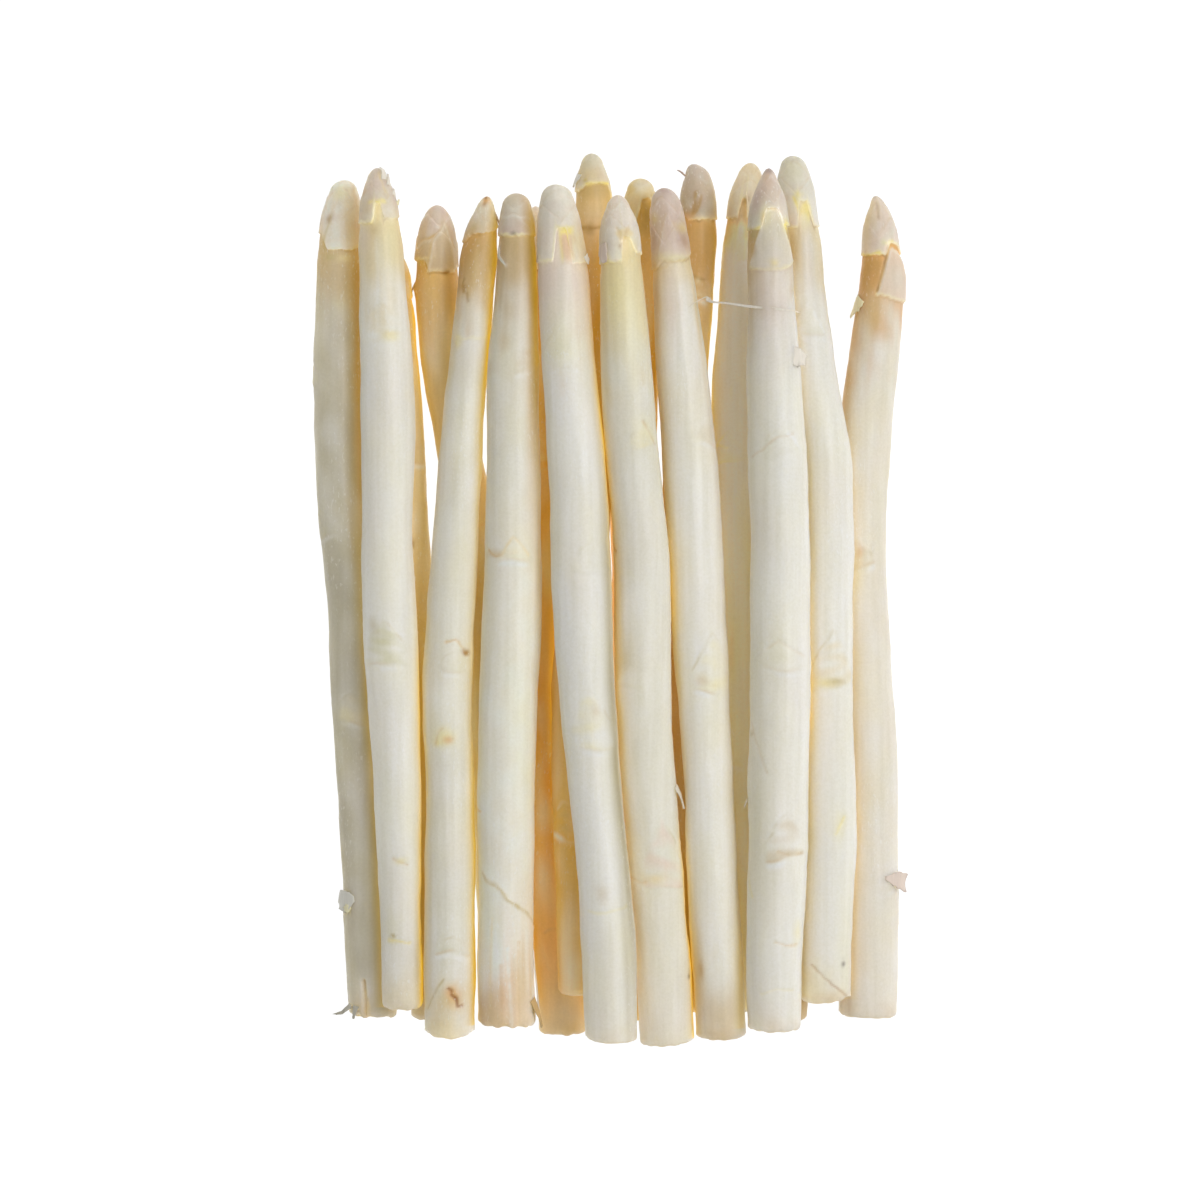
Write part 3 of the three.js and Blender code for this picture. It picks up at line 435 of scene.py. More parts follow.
SPEARS["spear_17"] = dict(
    widths=[7.2, 9.5, 10.5, 11.3], dome=1.9, turn=90, cap=(IVORY, WARM), flesh=CREAM,
    below=(STRAW, 14, 0.7), tone=(0.86, 0.88, 0.99), left=0.08, cut=(1.2, -0.6, 0.12),
    rim=[[0, 18.6], [40, 18.4], [58, 12], [82, 12], [92, 18.9], [180, 18.9], [270, 17]],
)
MARKS["spear_17"] = [
    crack([(11.2, 98), (12.4, 92), (14.6, 82)], YELLOW, 0.95, dent=0.1, width=0.8),
    spot(10.4, 86, 0.9, 1, YELLOW, 0.6), spot(14.6, 84, 0.5, 0.45, DARK, 0.6),
    window(14.6, 66, 2.6, 1.5, YELLOW, 0.75), window(17.2, 72, 2, 1.6, LEMON, 0.6),
    spot(4, 100, 4, 4, LEMON, 0.35), spot(15.5, 105, 2.6, 2.4, PINK, 0.4), spot(15, 20, 3, 2, WHITE, 0.6),
    crack([(18.5, 130), (18.7, 95)], LEMON, 0.7, dent=0), spot(24, 112, 6, 1.8, GOLDEN, 0.7),
    spot(34, 130, 14, 1.6, STRAW, 0.6), spot(28, 70, 10, 2.4, PINK, 0.4),
    scar(38, 84, 8, 44, GREEN, 0.2, 0.2),
    crack([(41, 70), (43, 62), (46, 50)], WHITE, 0.8, dent=-0.2, width=0.7),
    scar(124, 78, 14, 58, STRAW, 0.4, 0.51), spot(136.7, 73, 0.9, 1.8, OLIVE, 0.7),
    spot(137, 100, 1.4, 3, YELLOW, 0.4), spot(174, 70, 4, 2, YELLOW, 0.25),
    crack([(172, 60), (176, 80)], YELLOW, 0.4), spot(209.9, 47, 0.7, 0.7, DARK, 0.7),
    crack([(210.2, 126), (213.5, 95), (216.6, 60), (218.2, 34)], BROWN, 0.6, dent=0.12),
    spot(215, 115, 5, 4, YELLOW, 0.3), spot(218.5, 80, 1.6, 6, TAN, 0.35),
]

SPEARS["spear_18"] = dict(
    widths=[4.9, 8.3, 10, 11], hook=-0.6, turn=100, cap=(PINK, PINK), flesh=WARM, below=(ORANGE, 20, 1),
    tone=(0.92, 0.94, 0.96), cut=(0.4, 0.3, 0.1),
    rim=[[0, 15.5], [30, 13], [62, 12.5], [74, 15.7], [180, 15.7], [270, 14]],
)
MARKS["spear_18"] = [
    bract(
        [(-16, 24), (10, 17.5), (34, 14.7), (56, 13.9), (66, 14.2),
         (79, 17), (90, 20.7), (100, 25), (105, 26)],
        [(-16, 25), (0, 28), (49, 27.6), (92, 26.4), (105, 26.2)],
        0.6,
    ),
    crack([(15.3, 160), (15.5, 125), (15.2, 96)], YELLOW, 0.8, dent=0),
    crack([(2, 98), (5.2, 98), (6.5, 96)], BROWN), spot(7, 120, 4, 1.6, MAUVE, 0.4),
    spot(7, 150, 5, 2, STRAW), crack([(12.6, 76), (12.9, 66), (12.2, 54)], YELLOW, 0.95, dent=-0.3),
    spot(12.4, 84, 1, 0.8, GREEN, 0.7),
    crack([(14, 72), (17.3, 80), (20.7, 92), (25.4, 102)], BROWN, 0.8, dent=0.25),
    window(20.5, 125, 4.8, 3.6, HONEY, 0.6), spot(23, 118, 3, 1.6, ORANGE, 0.6),
    spot(3, 60, 4, 2, PINK, 0.4), spot(31, 110, 6, 3, STRAW), spot(22, 50, 4, 3.4, IVORY, 0.45),
    # painted shade: the first spot, amber on the left flank where spear_17 keeps the light off
    spot(52, 164, 28, 3, AMBER, 0.6), scar(91, 100, 6, 50, TAN, 0.3, 0.51),
    spot(93.5, 92, 2, 1, ORANGE, 0.4), spot(98, 110, 6, 3, YELLOW, 0.25),
    spot(168, 152, 5, 2.6, HONEY, 0.7), crack([(164, 150), (168, 158), (170, 172)], BROWN),
    scar(176, 20, 5, 40), crack([(190, 178), (191, 130)], TAN, 0.4), spot(195, 155, 7, 2.5, TAN, 0.6),
    spot(211, 150, 8, 3, PINK), spot(212, 132, 4, 0.8, BROWN, 0.3),
]
FLAPS["spear_18"] = [
    (LEMON, [(27, 150, 0, 2.4), (29.5, 164, 0.25, 2), (32, 174, 0.7, 0.5)]),
    (PINK, [(178.4, 60, 0, 0.5), (179, 30, 0.7, 2.1), (180, 10, 1.8, 2.3)]),
]

FLOOR_LAYER = {"spear_03", "spear_04", "spear_07", "spear_11", "spear_13", "spear_14", "spear_16"}
SHADED = FLOOR_LAYER | {"spear_01", "spear_09", "spear_18"}

# A torn strip of peel that lies across four spears, over their tops: X, Y and half width.
SHRED = [
    (20.7, 75.2, 0.08), (23, 76.6, 0.1), (25.2, 77.6, 0.15), (25.8, 76.9, 0.7), (26.9, 76.2, 0.3),
    (30.5, 75.8, 0.25), (35.2, 75, 0.35), (40.6, 74.3, 0.3), (46, 73.9, 0.22), (49.6, 73.6, 0.1),
]

# ---------------------------------------------------------------- relief and mesh sizes
COLUMNS = 96  # places round a spear
FLOOR_COLUMNS = 80  # the same for the lowest spears
FIRST_ROW = 0.12
ROW_HEAD = 0.33  # from row to row in the head
ROW_MARK = 0.4  # the same at a mark on the stem
ROW_STEM = 2.0  # the same elsewhere
BELOW_RIM = 2.0  # how far under the rim the rows are level again
CUT_ROWS = 5.0  # how far from the cut end the rows are close
LAST_GAP = 0.3  # between the last row of the side and the bevel
NEAR_TIP = 0.6  # a section of the solid nearer the tip is too small to measure
HOOK_REACH = 4.0  # how far from the tip a leaning tip is straight again
HEAD_SINK = 0.35  # how far the flesh of the head lies under its skin
PALER_FROM = 110  # a spear's tone changes evenly from its rim to this place
SCALES_A_TURN = 3
SCALE_ROWS = ((0.16, 0.42), (0.5, 0.88))  # point and valley of each row's edge, as shares of the head
SCALE_BEND = 1.35  # 1 would make the sides of a scale straight
SCALE_RAG = 0.1  # how ragged its edge is
RIM_RAG = 0.14
SCALE_LIFT = 0.24
CAP_LIFT = 0.4
SCAR_LIFT = 0.18
EDGE = 0.22  # the run of a scale's edge
FINEST = 0.38  # the half width of the finest line that the mesh can carry
SOFT_EDGE = 0.4  # the run of an edge where the rows of the mesh don't follow it
FACET = 0.1  # depth of the flats left by the peeler
LUMP = 0.16  # height of the uneven growth under them
CUT_BEVEL = 1.3
CUT_TURNS = np.radians([30, 55, 75, 90])  # where the rows of the bevel are
CUT_RINGS = (0.94, 0.86, 0.72, 0.56, 0.4, 0.24, 0.1)  # the rings of the cut face, as shares of its edge
CUT_SINK = 0.25  # how far the middle of the cut face is sunken in
RIND_FROM = 0.8  # the rings further out than this have the colour of the rind
SKIN = 0.2  # thickness of loose skin
FLAP_GRID = (13, 9)  # places along and across a flap
FLAP_FRAY = 0.09  # how much its width changes from place to place, as a share
FLAP_CURL = 0.35  # how much higher its sides stand than its middle, as a share of its height
SHRED_GRID = (73, 5)  # the same for the strip of peel
SHRED_FRAY = 0.15
SHRED_CURL = 0.25  # this one is a share of its half width
SHRED_SKIN = 0.12  # its thickness
SHRED_GAP = 0.15  # between the strip of peel and the spears under it
SHRED_SAG = 0.0004  # how far a place on the strip hangs below the middle of its neighbours
SHRED_ROUNDS = 1500  # of letting the strip settle
SPREAD = 7.0  # how far light spreads under the surface, and its share for red, green and blue
SPREAD_SHARES = (1.0, 0.9, 0.45)
FLESH_IOR = 1.4


def rise(value, start, end):
    """0 before start, 1 after end and smooth between."""
    share = np.clip((value - start) / (end - start), 0, 1)
    return share * share * (3 - 2 * share)


def bump(value, width):
    """1 at 0, and nothing beyond about twice the width."""
    return np.exp(-((value / width) ** 2))


def through(at, stations, values):
    """A smooth curve through values at rising stations."""
    stations = np.asarray(stations, float)
    values = np.asarray(values, float)
    slopes = np.gradient(values, stations)
    at = np.clip(at, stations[0], stations[-1])
    k = np.clip(np.searchsorted(stations, at, side="right") - 1, 0, len(stations) - 2)
    run = stations[k + 1] - stations[k]
    u = (at - stations[k]) / run
    start, end = slopes[k] * run, slopes[k + 1] * run
    gap = values[k + 1] - values[k]
    return values[k] + u * (start + u * (3 * gap - 2 * start - end + u * (start + end - 2 * gap)))


def apart(a, b):
    """The signed angle from b to a, from -180 to 180."""
    return (np.asarray(a) - b + 180) % 360 - 180


def waves(s, angle, seed, length, turns, count=12):
    """A smooth random pattern, mostly between -1 and 1: waves of about that length along the spear."""
    draw = np.random.default_rng(seed)
    turn = np.radians(angle)
    total = 0
    for _ in range(count):
        around = draw.integers(0, turns + 1)
        along = draw.normal() * 2 * math.pi / length
        total = total + np.cos(around * turn + along * s + draw.uniform(0, 2 * math.pi))
    return total / math.sqrt(count)


def ragged(angle, seed, turns=26, count=16):
    """A jagged line round the spear, mostly between -1 and 1."""
    draw = np.random.default_rng(seed)
    turn = np.radians(angle)
    total = 0
    for _ in range(count):
        total = total + np.cos(draw.integers(3, turns) * turn + draw.uniform(0, 2 * math.pi))
    return total / math.sqrt(count)


class Spear:
    """One spear: its centre line and thickness are read from its CAD node."""

    SAMPLE = 2.0
    BLUR = 2  # samples

    def __init__(self, name):
        self.name = name
        self.look = SPEARS[name]
        self.seed = int(name[-2:])
        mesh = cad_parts[name].data
        mesh.calc_loop_triangles()
        points = np.array([v.co for v in mesh.vertices]) / MM
        corners = points[np.array([t.vertices for t in mesh.loop_triangles])]
        self.tip = points[:, 1].max()
        self.length = self.tip - np.median(np.sort(points[:, 1])[:8])
        self.stations = np.arange(0, self.length - 0.5 * self.SAMPLE, self.SAMPLE)
        cuts = np.array([self.cut(corners, self.tip - max(s, NEAR_TIP)) for s in self.stations])
        self.x, self.z, self.around = (self.blurred(column) for column in cuts.T)
        self.cap = max(s for _, s in self.look["rim"])

    @staticmethod
    def cut(corners, y):
        """The middle of the section at that place along Y, and its mean radius."""
        ends = []
        for i, j in ((0, 1), (1, 2), (2, 0)):
            a, b = corners[:, i], corners[:, j]
            crosses = (a[:, 1] > y) != (b[:, 1] > y)
            share = np.where(crosses, (y - a[:, 1]) / np.where(crosses, b[:, 1] - a[:, 1], 1), 0)
            ends.append((crosses, a + (b - a) * share[:, None]))
        total, middle = 0.0, np.zeros(3)
        for m, n in ((0, 1), (1, 2), (2, 0)):
            both = ends[m][0] & ends[n][0]
            p, q = ends[m][1][both], ends[n][1][both]
            span = np.linalg.norm(q - p, axis=1)
            total += span.sum()
            middle += ((p + q) / 2 * span[:, None]).sum(0)
        return middle[0] / total, middle[2] / total, total / (2 * math.pi)

    def blurred(self, values):
        pad = 3 * self.BLUR
        kernel = np.exp(-0.5 * (np.arange(-pad, pad + 1) / self.BLUR) ** 2)
        kernel /= kernel.sum()
        first = values[0] - (values[1:pad + 1] - values[0])[::-1]
        last = values[-1] - (values[-pad - 1:-1] - values[-1])[::-1]
        return np.convolve(np.concatenate([first, values, last]), kernel, mode="valid")

    def centre(self, s):
        lean = self.look.get("hook", 0) * np.clip(1 - s / HOOK_REACH, 0, 1) ** 2
        return through(s, self.stations, self.x) + lean, through(s, self.stations, self.z)

    def flesh(self, s):
        """The radius without the skin left on the head. The tip is a small dome."""
        stem = through(s, self.stations, self.around)
        radii = [width / 2 for width in self.look["widths"]]
        radii += list(through(np.array(STEM_AT), self.stations, self.around))
        head = through(s, HEAD_AT + STEM_AT, radii)
        head = head - HEAD_SINK * (1 - rise(s, self.cap - 2, self.cap + 6))
        first = HEAD_AT[0]
        head = head * np.sqrt(1 - (1 - np.clip(s, 0, first) / first) ** self.look.get("dome", 1.3))
        share = rise(s, self.cap + 4, self.cap + 14)
        return head * (1 - share) + stem * share

    def lines(self, angle):
        """Round the spear: the V-shaped edges of two rows of scales, and the rim."""
        shallow = min(s for _, s in self.look["rim"])
        step = 360 / SCALES_A_TURN
        lines = []
        for number, (point, valley) in enumerate(SCALE_ROWS):
            middle = self.look["turn"] + number * step / 2
            off = np.abs((angle - middle + step / 2) % step - step / 2) / (step / 2)
            line = shallow * (point + (valley - point) * off ** SCALE_BEND)
            lines.append(line + SCALE_RAG * ragged(angle, self.seed + 40 + number))
        angles, places = zip(*self.look["rim"])
        rim = np.interp(angle % 360, angles, places, period=360)
        return [*lines, rim + RIM_RAG * ragged(angle, self.seed)]

    def point(self, s, angle, radius):
        """The place in metres, never below the floor."""
        x, z = self.centre(s)
        turn = np.radians(angle)
        height = np.maximum(z + radius * np.sin(turn), 0)
        return np.stack([x + radius * np.cos(turn), self.tip - s + 0 * angle, height], axis=-1) * MM


def line_distance(points, s, angle, radius):
    """How far each place is from a line through points, over the surface."""
    arc = np.radians(apart(angle, points[0][1])) * radius
    best = np.full(np.shape(arc), 1e9)
    for (s0, a0), (s1, a1) in zip(points, points[1:]):
        p0 = np.radians(apart(a0, points[0][1])) * radius
        p1 = np.radians(apart(a1, points[0][1])) * radius
        ds, dp = s1 - s0, p1 - p0
        share = np.clip(((s - s0) * ds + (arc - p0) * dp) / (ds * ds + dp * dp + 1e-9), 0, 1)
        best = np.minimum(best, np.hypot(s - s0 - share * ds, arc - p0 - share * dp))
    return best


class Skin:
    """The relief and the colour of a spear's surface at a grid of places."""

    def __init__(self, spear, s, angle):
        self.spear, self.s, self.angle = spear, s, angle
        self.bare = spear.flesh(s)
        self.lift = np.zeros(s.shape)
        self.colour = np.ones(s.shape + (3,)) * linear(spear.look["flesh"])
        self.mottle()
        self.stem()
        self.head()
        for kind, given, more in MARKS[spear.name]:
            getattr(self, kind)(*given, **more)
        self.butt()
        # Painted light and shade: each spear's brightness is raised or lowered to make up for the light that
        # its head, neck and stem get in the bunch.
        tone = np.interp(s, [spear.cap - 2, spear.cap + 1, PALER_FROM], spear.look.get("tone", (1, 1, 1)))
        self.colour = np.minimum(self.colour * tone[..., None], PALEST)

    def cover(self, target, share):
        share = np.clip(share, 0, 1)[..., None]
        self.colour = self.colour * (1 - share) + target * share

    def paint(self, colour, share):
        self.cover(linear(colour), share)

    def wave(self, number, length, turns):
        return waves(self.s, self.angle, 100 * self.spear.seed + number, length, turns)

    def beyond(self, line):
        """How far each place is past a line round the spear, square to the line."""
        column = np.radians(self.angle[0, 1] - self.angle[0, 0]) * np.maximum(self.bare, 1)
        slope = np.gradient(line, axis=-1) / column
        return (self.s - line) / np.sqrt(1 + slope ** 2)

    def mottle(self):
        """Wide, faint patches of other colours all over the spear."""
        self.paint(LEMON, 0.06 + 0.14 * self.wave(1, 60, 3))
        self.paint(WHITE, 0.10 + 0.16 * self.wave(2, 26, 5))
        self.paint(GREEN, 0.02 + 0.07 * self.wave(3, 45, 4))
        self.paint(PINK, 0.02 + 0.07 * self.wave(23, 50, 3))

    def stem(self):
        """Long flats left by the peeler, and the uneven growth under them."""
        on_stem = rise(self.s, self.spear.cap, self.spear.cap + 6)
        self.lift -= on_stem * FACET * (np.abs(self.wave(4, 150, 6)) - 0.7)
        self.lift -= on_stem * 0.5 * FACET * (np.abs(self.wave(24, 60, 9)) - 0.7)
        self.lift += on_stem * LUMP * self.wave(5, 42, 2) + 0.05 * on_stem * self.wave(6, 12, 6)
        self.lift += 0.03 * self.wave(7, 5, 12)

    def head(self):
        """The skin left on the head: its scales, its colours, its rim and the stain under the rim."""
        look, spear = self.spear.look, self.spear
        first, second, rim = (line + 0 * self.s for line in spear.lines(self.angle[0]))
        on_cap = 1 - rise(self.s - rim, -EDGE / 2, EDGE / 2)
        crisp = look.get("crisp", 0.35)
        for line, end in ((first, second), (second, rim)):
            fade = np.clip(1 - (self.s - line) / np.maximum(end - line, 1), 0, 1)
            self.lift += crisp * SCALE_LIFT * rise(self.s - line, -EDGE / 2, EDGE / 2) * fade * on_cap
        self.lift += CAP_LIFT * on_cap * rise(self.s, 0, 6)
        at_tip, at_rim = (linear(colour) for colour in look["cap"])
        along = np.clip(self.s / spear.cap, 0, 1)[..., None]
        self.cover(at_tip * (1 - along) + at_rim * along, 0.9 * on_cap)
        self.paint(MAUVE, (0.05 + 0.2 * self.wave(25, 9, 4)) * on_cap)
        self.paint(IVORY, (0.05 + 0.25 * self.wave(26, 7, 5)) * on_cap)
        for line in (first, second):
            past = self.beyond(line)
            # Painted shadow: a tan line just above each scale's edge, toward the tip, at the foot of its
            # step.
            self.paint(TAN, crisp * (0.3 + 0.4 * self.wave(8, 8, 8)) * bump(past + 0.2, 0.3) * on_cap)
            self.paint(CREAM, crisp * (0.3 + 0.4 * self.wave(27, 8, 8)) * bump(past - 0.35, 0.35) * on_cap)
        colour, run, strength = look["below"]
        under = (self.s - rim) * (1 + 0.2 * self.wave(9, 14, 4) + 0.08 * self.wave(28, 90, 16))
        self.paint(colour, strength * (1 - on_cap) * (1 - rise(under, 0.1 * run, 1.7 * run)))
        past = self.beyond(rim)
        self.lift += 0.06 * bump(past + 0.35, 0.4)
        self.paint(LEMON, (0.4 + 0.4 * self.wave(10, 30, 7)) * bump(past + 0.3, 0.35))
        self.paint(BROWN, (0.22 + 0.3 * self.wave(11, 30, 7)) * bump(past - 0.3, 0.3))

    def scar(self, s, angle, length, half=50, tint=GREEN, strength=0.4, line=0.6):
        """A peeled node: a triangle that points to the tip, a little proud, with a pale band below it.
        s and angle are its point, half is half its width in degrees and line the strength of its outline and
        of the painted highlight above it."""
        turned = apart(self.angle, angle) / half
        off = np.abs(turned)
        inside = 1 - rise(off, 0.75, 1.0)
        clear = 0.15 + 0.85 * rise(turned * (-1) ** int(s), -0.4, 0.7)  # one side of a scar shows more
        bottom = s + length + 0.9 * np.cos(2 * np.radians(self.angle + 60 * s))
        past = self.beyond(s + off ** 1.2 * 0.75 * length + 0.6 * self.wave(12, 9, 5))
        until = self.beyond(bottom + 0.4 * self.wave(13, 12, 5))
        body = rise(past, -0.5, 1.5) * (1 - rise(until, -0.6, 0.6)) * inside
        broken = inside * clear * np.clip(0.5 + 0.8 * self.wave(15, 7, 6), 0, 1)
        proud = rise(past, -0.3, 0.4) * np.exp(-np.clip(past, 0, None) / length) * inside * clear
        self.lift += SCAR_LIFT * proud
        self.lift += inside * (0.14 * bump(until + 0.8, 1.2) - 0.08 * bump(until - 0.7, 0.6))
        deeper = 0.4 + 0.6 * np.clip(past / length, 0, 1) + 0.4 * self.wave(14, 6, 5)
        self.paint(tint, strength * body * deeper)
        self.paint(OLIVE, 0.7 * line * bump(past, FINEST) * broken)
        # Painted highlight: a white line just above the outline, toward the tip.
        self.paint(WHITE, 0.5 * line * bump(past + 0.8, 0.5) * broken)
        share = np.clip(0.4 + 0.9 * self.wave(16, 9, 4), 0, 1) * inside
        self.paint(WHITE, (0.3 + 0.5 * line) * bump(until - 1.1, 0.8) * share)
        self.paint(TAN, 0.6 * line * bump(until, FINEST) * share)

    def bract(self, edge, base, lift=0.4):
        """A whole scale that stands out: its upper edge and its base, as rising angles and distances."""
        first, last = edge[0][0], edge[-1][0]
        middle = (first + last) / 2
        turned = middle + apart(self.angle, middle)
        inside = rise(turned, first - 2, first + 1) * (1 - rise(turned, last - 1, last + 2))
        past = self.beyond(np.interp(turned, *zip(*edge)) + 0.1 * self.wave(17, 7, 8))
        torn = 0.15 * ragged(self.angle, self.spear.seed + 70)
        until = self.beyond(np.interp(turned, *zip(*base)) + torn)
        begun, ended = (rise(line, -SOFT_EDGE / 2, SOFT_EDGE / 2) for line in (past, until))
        on = begun * (1 - ended) * inside
        self.lift += lift * on
        self.paint(self.spear.look["cap"][1], 0.75 * on)
        # Painted shadow: a tan line just above the bract's upper edge, at the foot of its step.
        self.paint(TAN, 0.4 * bump(past + 0.1, 0.3) * inside * (until < 0))
        self.paint(CREAM, 0.35 * bump(past - 0.55, 0.4) * inside * (until < 0))
        self.paint(LEMON, 0.5 * bump(until + 0.3, 0.35) * inside)
        self.paint(BROWN, 0.25 * bump(until - 0.35, 0.3) * inside)

    def reach(self, s, angle, long, wide, power):
        """1 in the middle of a patch and 0 outside it. A higher power gives it a firmer edge."""
        arc = np.radians(apart(self.angle, angle)) * self.bare
        squares = ((self.s - s) / long) ** 2 + (arc / wide) ** 2
        return np.exp(-(squares * (1 + 0.3 * self.wave(18, 2.2 * long + 2, 9))) ** power)

    def spot(self, s, angle, long, wide, colour, strength=0.5, dent=0.0):
        """A soft-edged patch of colour: long is its half length along the spear, wide its half width."""
        share = self.reach(s, angle, long, wide, 1)
        self.paint(colour, strength * share)
        self.lift -= dent * share

    def window(self, s, angle, long, wide, colour, strength=0.9):
        """An even patch of colour with firmer edges: flesh that shows where a scale has gone."""
        self.paint(colour, strength * self.reach(s, angle, long, wide, 3))

    def crack(self, points, colour, strength=0.5, dent=0.15, width=0.0):
        """A line through points given as distance and angle. Without a width it's the finest there is."""
        wavering = self.s + 0.25 * self.wave(19, 5, 10)
        away = line_distance(points, wavering, self.angle, np.maximum(self.bare, 2))
        share = bump(away, max(0.6 * width, FINEST))
        self.paint(colour, strength * share * (0.85 + 0.25 * self.wave(20, 6, 8)))
        self.lift -= dent * share

    def butt(self):
        """The last stretch above the cut, a little dried."""
        left = self.spear.length - self.s
        self.paint(PINK, 0.35 * np.exp(-left / 7) * (0.8 + 0.3 * self.wave(21, 14, 6)))
        self.paint(TAN, 0.4 * np.exp(-left / 1.6) * (0.7 + 0.4 * self.wave(22, 8, 9)))


def head_rows(spear, angle):
    """Distances from the tip in the head, by row and column: the rows follow the edges of the skin."""
    bands, start = [], np.full(angle.shape, FIRST_ROW)
    level = np.full(angle.shape, spear.cap + BELOW_RIM)
    for line in [*spear.lines(angle), level]:
        end = line if line is level else line - EDGE / 2
        count = max(2, round(float((end - start).mean()) / ROW_HEAD))
        bands.append(start + (end - start) * np.linspace(0, 1, count + 1)[:, None])
        start = line + EDGE / 2
    return np.concatenate(bands)


def fine_stretch(kind, given):
    """Where along the spear a mark needs close rows, or None."""
    if kind in ("crack", "bract"):
        places = [s for s, _ in given[0]] if kind == "crack" else [s for _, s in given[0] + given[1]]
        return min(places) - 1, max(places) + 1
    s, _, long = given[:3]
    if kind == "scar":
        return s - 1.5, s + long + 3
    return (s - 1.5 * long, s + 1.5 * long) if long < 3 else None


def stem_rows(spear):
    """Distances from the tip below the head, closer together where there is detail."""
    stretches = [fine_stretch(kind, given) for kind, given, _ in MARKS[spear.name]]
    dense = [(spear.length - CUT_ROWS, spear.length), *filter(None, stretches)]
    rows = [spear.cap + BELOW_RIM + ROW_HEAD]
    while rows[-1] < spear.length - CUT_BEVEL - LAST_GAP:
        s = rows[-1]
        if any(a <= s <= b for a, b in dense):
            step = ROW_MARK
        else:
            step = min([ROW_STEM] + [a - s for a, _ in dense if 0.2 < a - s])
        rows.append(s + max(step, ROW_HEAD))
    return np.array(rows)


class Shape:
    """Vertices, faces and colours that are gathered into one mesh."""

    def __init__(self):
        self.points, self.colours, self.faces, self.materials, self.count = [], [], [], [], 0

    def add(self, points, colours, faces, material=0):
        """Colours have a fourth value: the strength of the painted light that the flesh gives off there."""
        self.points.append(points.reshape(-1, 3))
        self.colours.append(colours.reshape(-1, 4))
        self.faces += [tuple(int(v) + self.count for v in face) for face in faces]
        self.materials += [material] * len(faces)
        self.count += len(self.points[-1])

    def build(self, name, *materials):
        mesh = bpy.data.meshes.new(name)
        mesh.from_pydata(np.concatenate(self.points).tolist(), [], self.faces)
        mesh.polygons.foreach_set("use_smooth", [True] * len(mesh.polygons))
        for material in materials:
            mesh.materials.append(material)
        mesh.polygons.foreach_set("material_index", self.materials)
        tint = mesh.color_attributes.new("tint", "FLOAT_COLOR", "POINT")
        tint.data.foreach_set("color", np.concatenate(self.colours).ravel())
        piece = bpy.data.objects.new(name, mesh)
        bpy.context.scene.collection.objects.link(piece)
        return piece


def gap_shade_share(spear, points, angle, spears):
    """How closely other spears shut a place in, from 0 to 1, less on flanks that face left, away from the
    light: the share of painted shade and painted light there.
    """
    x, y, z = (points[..., axis] / MM for axis in range(3))
    turn = np.radians(angle)
    open_share = np.ones(x.shape)
    for other in spears:
        if other is spear:
            continue
        s = other.tip - y
        beside = (s > 0) & (s < other.length)
        cx, cz = other.centre(np.clip(s, 0, other.length))
        dx, dz = cx - x, cz - z
        away = np.hypot(dx, dz)
        gap = np.clip(away - other.flesh(np.clip(s, 0.5, other.length)), 0, None)
        facing = np.clip((dx * np.cos(turn) + dz * np.sin(turn)) / away + 0.1, 0, 1)
        open_share *= 1 - beside * facing * np.exp(-gap / GAP_SHADE_REACH)
    left = spear.look.get("left", LEFT_GAP_SHADE)
    return (1 - open_share) * (left + (1 - left) * rise(np.cos(turn), -0.3, 0.5))


def bevel_of(spear, angle, radius):
    """The rows of the bevelled edge of the cut end."""
    over, right, fray = spear.look.get("cut", (0.5, 0.0, 0.15))
    turn = np.radians(angle)
    lean = over * (np.sin(turn) - 0.7) + right * np.cos(turn)
    end = spear.length + lean + fray * ragged(angle, spear.seed + 200, 12)
    rows = []
    for quarter in CUT_TURNS:
        narrowed = radius - CUT_BEVEL * (1 - np.cos(quarter)) + 0.1 * ragged(angle, spear.seed + 201)
        rows.append(spear.point(end - CUT_BEVEL * (1 - np.sin(quarter)), angle, narrowed))
    return rows


def cut_face(spear, ring):
    """The rings of the cut end, from its edge to its middle, and their colours."""
    middle = ring.mean(0)
    turn = np.linspace(0, 360, len(ring), endpoint=False)
    rings, tints = [], []
    for share in CUT_RINGS:
        inner = middle + (ring - middle) * share
        grain = 0.1 * waves(np.full(len(ring), 10 * share), turn, spear.seed + 300, 6, 7)
        inner[:, 1] = ring[:, 1] * 0.3 + middle[1] * 0.7 - (grain + CUT_SINK * share) * MM
        rings.append(inner)
        tone = linear(STRAW) if share > RIND_FROM else linear(CREAM) * (0.88 + 0.1 * share)
        tints.append(np.ones((len(ring), 4)) * np.append(tone, 0))
    return np.array(rings), np.array(tints)


def tube_faces(rows, columns):
    """Faces of a closed tube whose points are its tip, the rows of its side and the middle of its end."""
    column = np.arange(columns)
    beside = (column + 1) % columns
    start = 1 + np.arange(rows - 1)[:, None] * columns
    sides = [start + column, start + columns + column, start + columns + beside, start + beside]
    faces = np.stack(sides, axis=-1).reshape(-1, 4).tolist()
    last = 1 + (rows - 1) * columns
    for i, j in zip(column, beside):
        faces += [(0, 1 + i, 1 + j), (last + j, last + i, last + columns)]
    return faces


